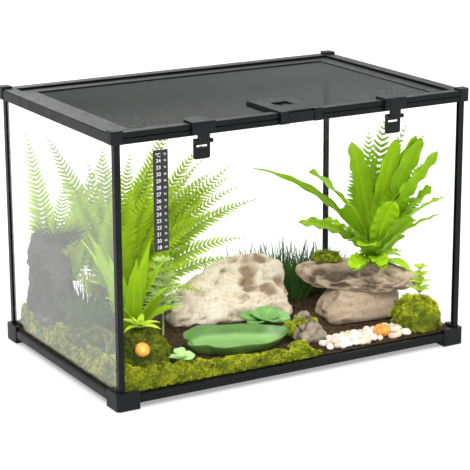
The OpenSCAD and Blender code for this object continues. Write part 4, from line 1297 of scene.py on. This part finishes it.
class TERRARIUM_OT_moss(PieceOperator, bpy.types.Operator):
    """Grows the moss mounds and small patches, tuft by tuft"""

    bl_idname = "terrarium.moss"
    bl_label = "Moss"

    def patch(self, name, spots, seed, material, density, reach, source=None):
        """A small low mound of moss made of flattened lumps (x, y, z, radius, height)."""
        lumps = []
        for x, y, z, radius, height in spots:
            lump = start(
                "primitive_uv_sphere_add", "lump", segments=28, ring_count=16, radius=radius,
                location=(x, y, z))
            lump.scale = (1, 1, height)
            lumps.append(settle(lump))
        base = join(lumps, name)
        modify(base, "REMESH", mode="VOXEL", voxel_size=0.002)
        points = points_of(base)
        clip_to_panes(points, MOSS_ROOM)
        points[:, 2] = np.maximum(points[:, 2], FLOOR_TOP + 0.0003)
        put_points(base, points)
        nodes = [source] if source else []
        return finish_piece(grow_moss(base, name, density, reach, seed), material, "tank", "moss", *nodes)

    def execute(self, context):
        tip, reach = colours().moss_tip, sizes().moss_leaf
        bright = mossy("Bright moss", tip, (0.52, 0.56, 0.020), (0.085, 0.090, 0.008))
        dark = mossy("Shaded moss", shade(tip, 0.60), (0.20, 0.24, 0.012), (0.030, 0.036, 0.005))
        jobs = [
            ("moss_left", "moss_mound_left", dark, 4.6, reach, 31),
            ("moss_right", "moss_mound_right", bright, 6.4, reach, 32),
            ("moss_ledge", "moss_on_ledge", bright, 8.0, reach * 0.85, 33),
        ]
        for source, name, material, density, size, seed in jobs:
            base = copy_node(source, name)
            modify(base, "REMESH", mode="VOXEL", voxel_size=0.0026)
            finish_piece(grow_moss(base, name, density, size, seed), material, "tank", "moss", source)
        chance = random.Random(8)
        front = []
        for k in range(22):
            x = -0.240 + k * 0.0130
            radius = 0.0125 + chance.uniform(-0.0015, 0.0020)
            crest = ground(x) + 0.0075 + chance.uniform(-0.003, 0.003)
            middle = (crest + FLOOR_TOP) / 2
            y = -0.1500 + chance.uniform(-0.002, 0.001)
            front.append((x, y, middle, radius, (crest - middle) / radius))
        self.patch("moss_along_front", front, 34, bright, 8.0, reach * 0.9, "moss_front")
        side = []
        for k in range(22):
            y = -0.142 + k * 0.0132
            radius = 0.0125 + chance.uniform(-0.002, 0.003)
            crest = ground(-PANE_X) + 0.009 + chance.uniform(-0.005, 0.006)
            middle = (crest + FLOOR_TOP) / 2
            x = -0.2400 + chance.uniform(-0.002, 0.003)
            side.append((x, y, middle, radius, (crest - middle) / radius))
        self.patch("moss_along_left", side, 37, bright, 6.0, reach)
        by_pebbles = [
            (0.024, -0.136, 0.020, 0.017, 0.55), (0.030, -0.118, 0.020, 0.014, 0.6),
            (0.006, -0.148, 0.021, 0.012, 0.6),
        ]
        on_rock = [
            (0.052, -0.094, 0.044, 0.015, 0.72), (0.036, -0.088, 0.034, 0.014, 0.8),
            (0.066, -0.088, 0.040, 0.010, 0.8),
        ]
        patches = [("moss_by_pebbles", by_pebbles, 35), ("moss_on_small_rock", on_rock, 36)]
        for name, spots, seed in patches:
            self.patch(name, spots, seed, bright, 7.5, reach * 0.8)
        return {"FINISHED"}


class TERRARIUM_OT_dish(PieceOperator, bpy.types.Operator):
    """Throws the leaf-shaped water dish: a wavy rim, a stem lobe and raised veins"""

    bl_idname = "terrarium.dish"
    bl_label = "Water dish"

    def outline(self, turn, long, wide):
        """A leaf with a pointed right tip, a round left end and a stem lobe."""
        x = long / 2 * math.cos(turn)
        y = wide / 2 * math.sin(turn) * abs(math.sin(turn / 2)) ** 0.45 * (1 + 0.022 * math.cos(9 * turn))
        stem_lobe = math.exp(-((turn - math.radians(200)) / 0.13) ** 2)
        notch = sum(math.exp(-((turn - math.radians(at)) / 0.08) ** 2) for at in (182, 219))
        swell = 1 + 0.10 * stem_lobe - 0.07 * notch
        return x * swell, y * swell

    def execute(self, context):
        long, wide, tall, wall = 0.156, 0.084, 0.020, 0.003
        # Rings from under the foot, over the rim, to the middle of the floor: share of length,
        # share of width, and height.
        rings = [
            (0.0, 0.0, 0.0006), (0.45, 0.40, 0.0006), (0.70, 0.62, 0.0), (0.75, 0.67, 0.0004),
            (0.82, 0.77, 0.22 * tall), (0.90, 0.88, 0.50 * tall), (0.965, 0.965, 0.82 * tall),
            (0.985, 0.985, 0.96 * tall), (0.99, 0.99, tall), (0.975, 0.975, tall + 0.0006),
            (0.955, 0.95, tall), (0.93, 0.92, 0.90 * tall), (0.88, 0.85, 0.66 * tall),
            (0.84, 0.80, 0.44 * tall), (0.78, 0.72, 0.30 * tall), (0.70, 0.63, wall + 0.0004),
            (0.60, 0.52, wall), (0.45, 0.38, wall), (0.30, 0.24, wall), (0.15, 0.12, wall),
            (0.0, 0.0, wall),
        ]
        dish = start(
            "primitive_grid_add", "leaf_dish", x_subdivisions=120, y_subdivisions=len(rings) - 1, size=1)
        flat = points_of(dish)
        shaped, across = [], []
        for u, v, _ in flat:
            turn = 2 * math.pi * (u + 0.5)
            level = (v + 0.5) * (len(rings) - 1)
            k = min(int(round(level)), len(rings) - 1)
            share, share_w, z = rings[k]
            x, y = self.outline(turn, long * share, wide * share_w)
            rise = z / tall
            wave = 0.0012 * math.sin(3 * turn + 0.6) + 0.0008 * math.sin(7 * turn)
            wave += 0.0040 * max(0.0, math.sin(turn)) - 0.0060 * max(0.0, -math.sin(turn))
            z += wave * max(0.0, rise) ** 2
            inner = k >= 13
            if inner:
                vein = math.exp(-(y / 0.0016) ** 2) * 0.0006
                slant = (x * 0.9 - abs(y) * 1.0) / 0.019
                side = math.exp(-(((slant - round(slant)) * 0.019) / 0.0014) ** 2) * 0.0004
                z += max(vein, side * min(1.0, abs(y) / 0.006))
            shaped.append((x, y, z))
            across.append(1.0 if inner else 0.0)
        put_points(dish, shaped)
        mark(dish, inside=across)
        pick(dish)
        bpy.ops.object.mode_set(mode="EDIT")
        bpy.ops.mesh.select_all(action="SELECT")
        bpy.ops.mesh.remove_doubles(threshold=0.00002)
        bpy.ops.mesh.normals_make_consistent(inside=False)
        bpy.ops.object.mode_set(mode="OBJECT")
        tilt = math.atan2(BED_MID - BED_LOW, SLOPE_RIGHT - SLOPE_LEFT)
        place = Matrix.Translation((DISH_CENTRE[0], DISH_CENTRE[1], ground(DISH_CENTRE[0]) + 0.0003))
        dish.data.transform(place @ Matrix.Rotation(tilt, 4, "Y"))
        modify(dish, "SUBSURF", levels=1, render_levels=1)
        smooth(dish)
        green = colours().dish_green
        material, tree, principled = shader("Green glaze")
        coords = object_coords(tree)
        pooled = noise_value(tree, coords, 34.0, 4.0, 0.6, 0.6)
        spread = grey_ramp(tree, pooled, 0.0, 1.0, 0.35, 0.65)
        # Painted light and shade: the outer wall gets a darkened green and the inside, which faces up, a
        # paler green.
        body = mix(tree, spread, shade(green, 0.55), shade(green, 0.85))
        within = node(tree, "Attribute", attribute_name="inside").outputs["Fac"]
        lit_inside_green = mix(tree, pooled, (0.23, 0.45, 0.12), (0.31, 0.54, 0.18))
        body = mix(tree, maths(tree, "MULTIPLY", within, 0.8), body, lit_inside_green)
        speck = grey_ramp(tree, noise_value(tree, coords, 620.0, 3.0), 0.0, 0.5, 0.62, 0.75)
        paint(tree, principled, mix(tree, speck, body, shade(green, 0.5)))
        roughen(tree, principled, grey_ramp(tree, pooled, 0.30, 0.46))
        raise_bump(tree, principled, noise_value(tree, coords, 900.0, 3.0), 0.12, 0.0004)
        finish_piece(dish, material, "water_dish", "dish_plastic", "water_dish")
        return {"FINISHED"}


class TERRARIUM_OT_fern(PieceOperator, bpy.types.Operator):
    """Grows the fern and a smaller one in the back corner, each frond with its stem and paired leaflets"""

    bl_idname = "terrarium.fern"
    bl_label = "Fern"

    def execute(self, context):
        chance = random.Random(3)
        reach = sizes().frond_leaflet
        material = toned("Fern frond", colours().fern_green, 1.35, 0.60, 0.7, 12.0, 0.5, 0.20)
        main_fern = [
            (leaf, int(leaf[2] / LEAFLET_PITCH), reach * (0.7 + 0.3 * leaf[2] / LONGEST_FROND))
            for leaf in FERN_FRONDS
        ]
        grow_fronds("fern_fronds", main_fern, FERN_CROWN, 0.29, chance, material, "fern")
        corner = [(leaf, int(leaf[2] / LEAFLET_PITCH), reach * 0.85) for leaf in CORNER_FRONDS]
        grow_fronds("corner_fronds", corner, CORNER_CROWN, 0.29, chance, material)
        return {"FINISHED"}

class TERRARIUM_OT_nest_fern(PieceOperator, bpy.types.Operator):
    """Grows the broad-leaved fern on the ledge, with finer young fronds behind it"""

    bl_idname = "terrarium.nest_fern"
    bl_label = "Broad-leaved fern"

    def execute(self, context):
        green = colours().nest_green
        parts = []
        for k, leaf in enumerate(NEST_LEAVES):
            broad = leaf[4] > 0.023
            parts.append(leaf_sheet(
                "nest_leaf", NEST_CROWN, (*leaf[:4], leaf[4] * 0.98),
                nest_outline if broad else lance_outline,
                rows=34, columns=8, fold=0.20, ripple=0.0022 if broad else 0.0012, waves=5.5 + k % 3,
                thickness=0.0009, tilt=(-1) ** k * (8 + 4 * (k % 3)), seed=k * 1.7, lit=0.9,
            ))
        for k in range(5):
            leaf = (200 + k * 52, 24 + 9 * (k % 2), 0.046 + 0.006 * (k % 3), 60, 0.021)
            parts.append(leaf_sheet(
                "base_leaf", NEST_CROWN, leaf, paddle_outline,
                rows=14, columns=6, fold=0.2, ripple=0.001, waves=2.0, thickness=0.001, seed=k * 2.3,
            ))
        material = toned("Broad leaf", green, 1.30, 0.72, 1.30, 26.0, 0.10, 0.16, 0.34, 0.35)
        finish_piece(join(parts, "broad_leaf_fern"), material, "tank", "green_leaf", "birds_nest_fern")
        fine = foliage(
            "Young frond", shade(green, 1.15), shade(green, 1.4), shade(green, 0.7), shade(green, 0.7),
            12.0, 0.5, 0.2)
        young = [(leaf, 22, 0.031) for leaf in YOUNG_FRONDS]
        grow_fronds("young_fronds", young, YOUNG_CROWN, 0.31, random.Random(12), fine, root_room=-1.0)
        return {"FINISHED"}

class TERRARIUM_OT_strap_plant(PieceOperator, bpy.types.Operator):
    """Grows the strap-leaved plant at the left"""

    bl_idname = "terrarium.strap_plant"
    bl_label = "Strap-leaved plant"

    def execute(self, context):
        parts = []
        for k, leaf in enumerate(STRAP_LEAVES):
            parts.append(leaf_sheet(
                "strap_leaf", STRAP_CROWN, leaf, lance_outline, rows=28, columns=6, fold=0.35, ripple=0.0008,
                waves=3.0, thickness=0.0009, tilt=(-1) ** k * 12, seed=k * 2.1, lit=0.8,
            ))
        material = toned("Strap leaf", (0.36, 0.58, 0.012), 1.3, 0.5, 1.35, 60.0, 0.02, 0.22)
        finish_piece(join(parts, "strap_leaves"), material, "tank", "green_leaf", "strap_leaf_plant")
        return {"FINISHED"}

class TERRARIUM_OT_small_plants(PieceOperator, bpy.types.Operator):
    """Grows the rosette, the sprigs, the pale succulent, the whorled plant and the dark needles"""

    bl_idname = "terrarium.small_plants"
    bl_label = "Small plants"

    def sprig(self, name, crown, leaves, outline, **settings):
        """Leaves that all rise from one crown."""
        parts = [
            leaf_sheet(name, crown, leaf, outline, seed=k * 1.9, tilt=(-1) ** k * 10, **settings)
            for k, leaf in enumerate(leaves)
        ]
        return join(parts, name)

    def needles(self, name, clumps, material, reach, width, count, spread, seed):
        """Clumps of fine needles: (x, y, z, radius, height scale)."""
        chance = np.random.default_rng(seed)
        places, tints = [], []
        for x, y, z, radius, tall in clumps:
            for _ in range(count):
                turn, out = chance.uniform(0, 6.28), radius * math.sqrt(chance.random())
                root = np.array((x + out * math.cos(turn), y + out * math.sin(turn), z))
                lean = spread * (0.3 + out / radius)
                ahead = np.array((math.cos(turn) * lean, math.sin(turn) * lean, 1.0))
                ahead = ahead + chance.normal(0, 0.18, 3)
                size = tall * chance.uniform(0.6, 1.1)
                place = axes(root, ahead, (math.cos(turn), math.sin(turn), 0.2), size)
                if inside_panes(root + place[:3, 0] * reach, 0.002):
                    places.append(place)
                    tints.append(chance.random())
        piece = repeat(spike("needle", reach, width), places, name, tints)
        return finish_piece(piece, material, "tank", "green_leaf")

    def rosette(self):
        """The blue green rosette beside the dish."""
        leaves = [(i * 51 + 8, 36 + 6 * (i % 2), 0.038, 34, 0.025) for i in range(7)]
        leaves += [(i * 90 + 40, 60, 0.027, 40, 0.019) for i in range(4)]
        paddle = toned(
            "Blue green paddle", colours().rosette_green, 1.35, 0.8, 1.5, 8.0, 0.1, 0.10, 0.32, 0.12)
        piece = self.sprig(
            "paddle_rosette", ROSETTE_CROWN, leaves, paddle_outline, rows=16, columns=8, fold=0.16,
            thickness=0.0022)
        finish_piece(piece, paddle, "tank", "blue_leaf", "succulent_rosette")

    def sprigs(self):
        """The lime rosette at the left and the tiered shoot at the right."""
        lime = toned("Lime leaf", (0.52, 0.72, 0.045), 1.2, 0.6, 0.75, 10.0, 0.2, 0.15, 0.36, 0.2)
        leaves = [(i * 51, 30 + 22 * (i % 2), 0.031 - 0.004 * (i % 2), 52, 0.0085) for i in range(7)]
        leaves += [(i * 120 + 20, 70, 0.017, 30, 0.006) for i in range(3)]
        parts = [self.sprig(
            "sprig_left", LIME_CROWN, leaves, lance_outline, rows=12, columns=4, fold=0.3, thickness=0.0008)]
        for tier in range(4):
            leaves = [(i * 72 + tier * 33, 46, 0.020 - 0.0025 * tier, 40, 0.0085) for i in range(5)]
            crown = (SHOOT_X, SHOOT_Y, 0.066 + tier * 0.011)
            parts.append(self.sprig(
                "sprig_right", crown, leaves, lance_outline, rows=8, columns=4, fold=0.3, thickness=0.0008))
        tip = (SHOOT_X + 0.0002, SHOOT_Y - 0.0002, 0.104)
        parts.append(stem("shoot", [(SHOOT_X, SHOOT_Y, 0.060), tip], [0.0011, 0.0007]))
        finish_piece(join(parts, "lime_sprigs"), lime, "tank", "yellow_leaf", "small_plants")

    def succulent(self):
        """The pale succulent on the front moss."""
        mint = toned("Pale succulent leaf", (0.50, 0.74, 0.30), 1.2, 0.6, 1.1, 6.0, 0.1, 0.08, 0.4, 0.1)
        leaves = [(i * 72 + 10, 24 + 22 * (i % 2), 0.0185, 30, 0.0150) for i in range(5)]
        leaves += [(60, 70, 0.012, 30, 0.009), (240, 66, 0.012, 30, 0.009)]
        piece = self.sprig(
            "pale_succulent", PALE_CROWN, leaves, paddle_outline, rows=12, columns=6, fold=0.3,
            thickness=0.0018)
        finish_piece(piece, mint, "tank", "green_leaf")

    def whorls(self):
        """The silver green plant with rings of leaves up its stem."""
        silver = toned("Silver whorl", (0.62, 0.78, 0.30), 1.35, 0.35, 0.8, 6.0, 0.1, 0.1)
        parts = []
        for tier in range(7):
            crown = (WHORL_X, WHORL_Y, 0.064 + tier * 0.0105)
            for i in range(9):
                leaf = (i * 40 + tier * 23, 34 + tier * 4, 0.032 - 0.0024 * tier, 40, 0.0080)
                parts.append(leaf_sheet(
                    "whorl_leaf", crown, leaf, lance_outline, rows=6, columns=2, fold=0.3, thickness=0.0007,
                    seed=tier * 9 + i))
        ends = [(WHORL_X, WHORL_Y, 0.030), (WHORL_X, WHORL_Y, 0.138)]
        parts.append(stem("whorl_stem", ends, [0.0016, 0.0008]))
        finish_piece(join(parts, "silver_whorls"), silver, "tank", "green_leaf")

    def dark_needles(self):
        """Needle clumps behind the ledge, at the left and on the column rock."""
        needle = toned("Dark needles", (0.060, 0.170, 0.020), 2.2, 0.35, 0.8, 4.0, 0.1, 0.05)
        back = [(x, y, BED_LOW, 0.016 + 0.010 * tall, tall) for x, y, tall in GRASS_CLUMPS]
        grass = self.needles("needles_back", back, needle, GRASS_LENGTH, 0.0026, 130, 0.42, 41)
        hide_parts("small_plants")
        side = [
            (-0.222, 0.010, 0.050, 0.020, 0.9), (-0.205, 0.000, 0.048, 0.016, 0.8),
            (-0.160, 0.128, BED_MID, 0.026, 1.1), (-0.110, 0.125, 0.032, 0.022, 1.0),
        ]
        self.needles("needles_left", side, needle, 0.066, 0.0026, 110, 0.5, 42)
        low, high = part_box("rock_column")
        x, y, z = (low.x + high.x) / 2, (low.y + high.y) / 2, high.z
        crest = [(x, y, z - 0.006, 0.018, 1.0), (x + 0.004, y - 0.012, z - 0.016, 0.016, 0.8)]
        self.needles("needles_on_column", crest, needle, 0.034, 0.0022, 150, 1.5, 43)

    def execute(self, context):
        self.rosette()
        self.sprigs()
        self.succulent()
        self.whorls()
        self.dark_needles()
        return {"FINISHED"}

class TERRARIUM_OT_stage(PieceOperator, bpy.types.Operator):
    """Sets the pale floor, the soft studio lamps and the camera"""

    bl_idname = "terrarium.stage"
    bl_label = "Stage, lamps and camera"

    def lamp(self, name, place, aim, power, wide):
        light = bpy.data.lights.new(name, "AREA")
        light.shape = "DISK"
        light.size = wide
        light.energy = power
        holder = bpy.data.objects.new(name, light)
        bpy.context.scene.collection.objects.link(holder)
        holder.location = place
        holder.rotation_mode = "QUATERNION"
        holder.rotation_quaternion = (Vector(aim) - Vector(place)).to_track_quat("-Z", "Y")

    def pale(self, tree, seen, lit):
        """1 for rays that should see plain white: camera, glossy and transmission rays."""
        rays = node(tree, "LightPath")
        either = maths(tree, "MAXIMUM", rays.outputs["Is Camera Ray"], rays.outputs["Is Glossy Ray"])
        either = maths(tree, "MAXIMUM", either, rays.outputs["Is Transmission Ray"])
        return grey_ramp(tree, either, lit, seen)

    def execute(self, context):
        scene = bpy.context.scene
        floor = start(
            "primitive_circle_add", "floor", vertices=96, radius=14.0, fill_type="NGON",
            location=(0, 0, -0.0005))
        settle(floor)
        material, tree, principled = shader("Pale floor")
        cloud = noise_value(tree, object_coords(tree), 1.5, 2.0)
        paint(tree, principled, mix(tree, cloud, (0.86, 0.86, 0.86), (0.90, 0.90, 0.90)))
        roughen(tree, principled, grey_ramp(tree, cloud, 0.8, 0.9))
        feed(tree, self.pale(tree, 0.34, 0.0), principled.inputs["Emission Strength"])
        principled.inputs["Emission Color"].default_value = (1, 1, 1, 1)
        floor.data.materials.append(material)
        world = bpy.data.worlds.new("Studio")
        world.use_nodes = True
        scene.world = world
        sky = world.node_tree.nodes["Background"]
        sky.inputs["Color"].default_value = (1, 1, 1, 1)
        feed(world.node_tree, self.pale(world.node_tree, 1.0, 0.62), sky.inputs["Strength"])
        self.lamp("key", (-1.5, -1.9, 2.4), (0, 0, 0.15), 46, 1.6)
        self.lamp("fill", (1.9, -1.6, 1.5), (0, 0, 0.15), 18, 1.8)
        self.lamp("back", (0.2, 2.2, 1.9), (0, 0, 0.2), 30, 1.8)
        lens = bpy.data.cameras.new("camera")
        lens.sensor_width = 36
        lens.lens = CAMERA_LENS
        camera = bpy.data.objects.new("camera", lens)
        scene.collection.objects.link(camera)
        azimuth, elevation, roll = (math.radians(angle) for angle in CAMERA_ANGLES)
        level = math.cos(elevation)
        back = Vector((math.sin(azimuth) * level, -math.cos(azimuth) * level, math.sin(elevation)))
        camera.location = CAMERA_PLACE
        camera.rotation_mode = "QUATERNION"
        rolled = Matrix.Rotation(-roll, 4, "Z").to_quaternion()
        camera.rotation_quaternion = (-back).to_track_quat("-Z", "Y") @ rolled
        scene.camera = camera
        scene.view_settings.view_transform = "Standard"
        return {"FINISHED"}


PIECE_OPERATORS = (
    TERRARIUM_OT_stage, TERRARIUM_OT_glass, TERRARIUM_OT_frames, TERRARIUM_OT_lid_mesh, TERRARIUM_OT_scale,
    TERRARIUM_OT_soil, TERRARIUM_OT_rocks, TERRARIUM_OT_pebbles, TERRARIUM_OT_moss, TERRARIUM_OT_dish,
    TERRARIUM_OT_fern, TERRARIUM_OT_nest_fern, TERRARIUM_OT_strap_plant, TERRARIUM_OT_small_plants,
)


class TERRARIUM_PT_dressing(bpy.types.Panel):
    """Lists the settings and the pieces"""

    bl_label = "Terrarium"
    bl_idname = "TERRARIUM_PT_dressing"
    bl_space_type = "VIEW_3D"
    bl_region_type = "UI"
    bl_category = "Terrarium"

    def draw(self, context):
        for settings in (context.scene.terrarium_sizes, context.scene.terrarium_colours):
            for key in settings.__annotations__:
                self.layout.prop(settings, key)
        for operator in PIECE_OPERATORS:
            self.layout.operator(operator.bl_idname)


CLASSES = (TerrariumSizes, TerrariumColours, *PIECE_OPERATORS, TERRARIUM_PT_dressing)


def register():
    for each in CLASSES:
        bpy.utils.register_class(each)
    bpy.types.Scene.terrarium_sizes = bpy.props.PointerProperty(type=TerrariumSizes)
    bpy.types.Scene.terrarium_colours = bpy.props.PointerProperty(type=TerrariumColours)


def unregister():
    del bpy.types.Scene.terrarium_sizes
    del bpy.types.Scene.terrarium_colours
    for each in reversed(CLASSES):
        bpy.utils.unregister_class(each)


def main():
    register()
    for operator in PIECE_OPERATORS:
        family, name = operator.bl_idname.split(".")
        getattr(getattr(bpy.ops, family), name)()


if __name__ == "__main__":
    main()
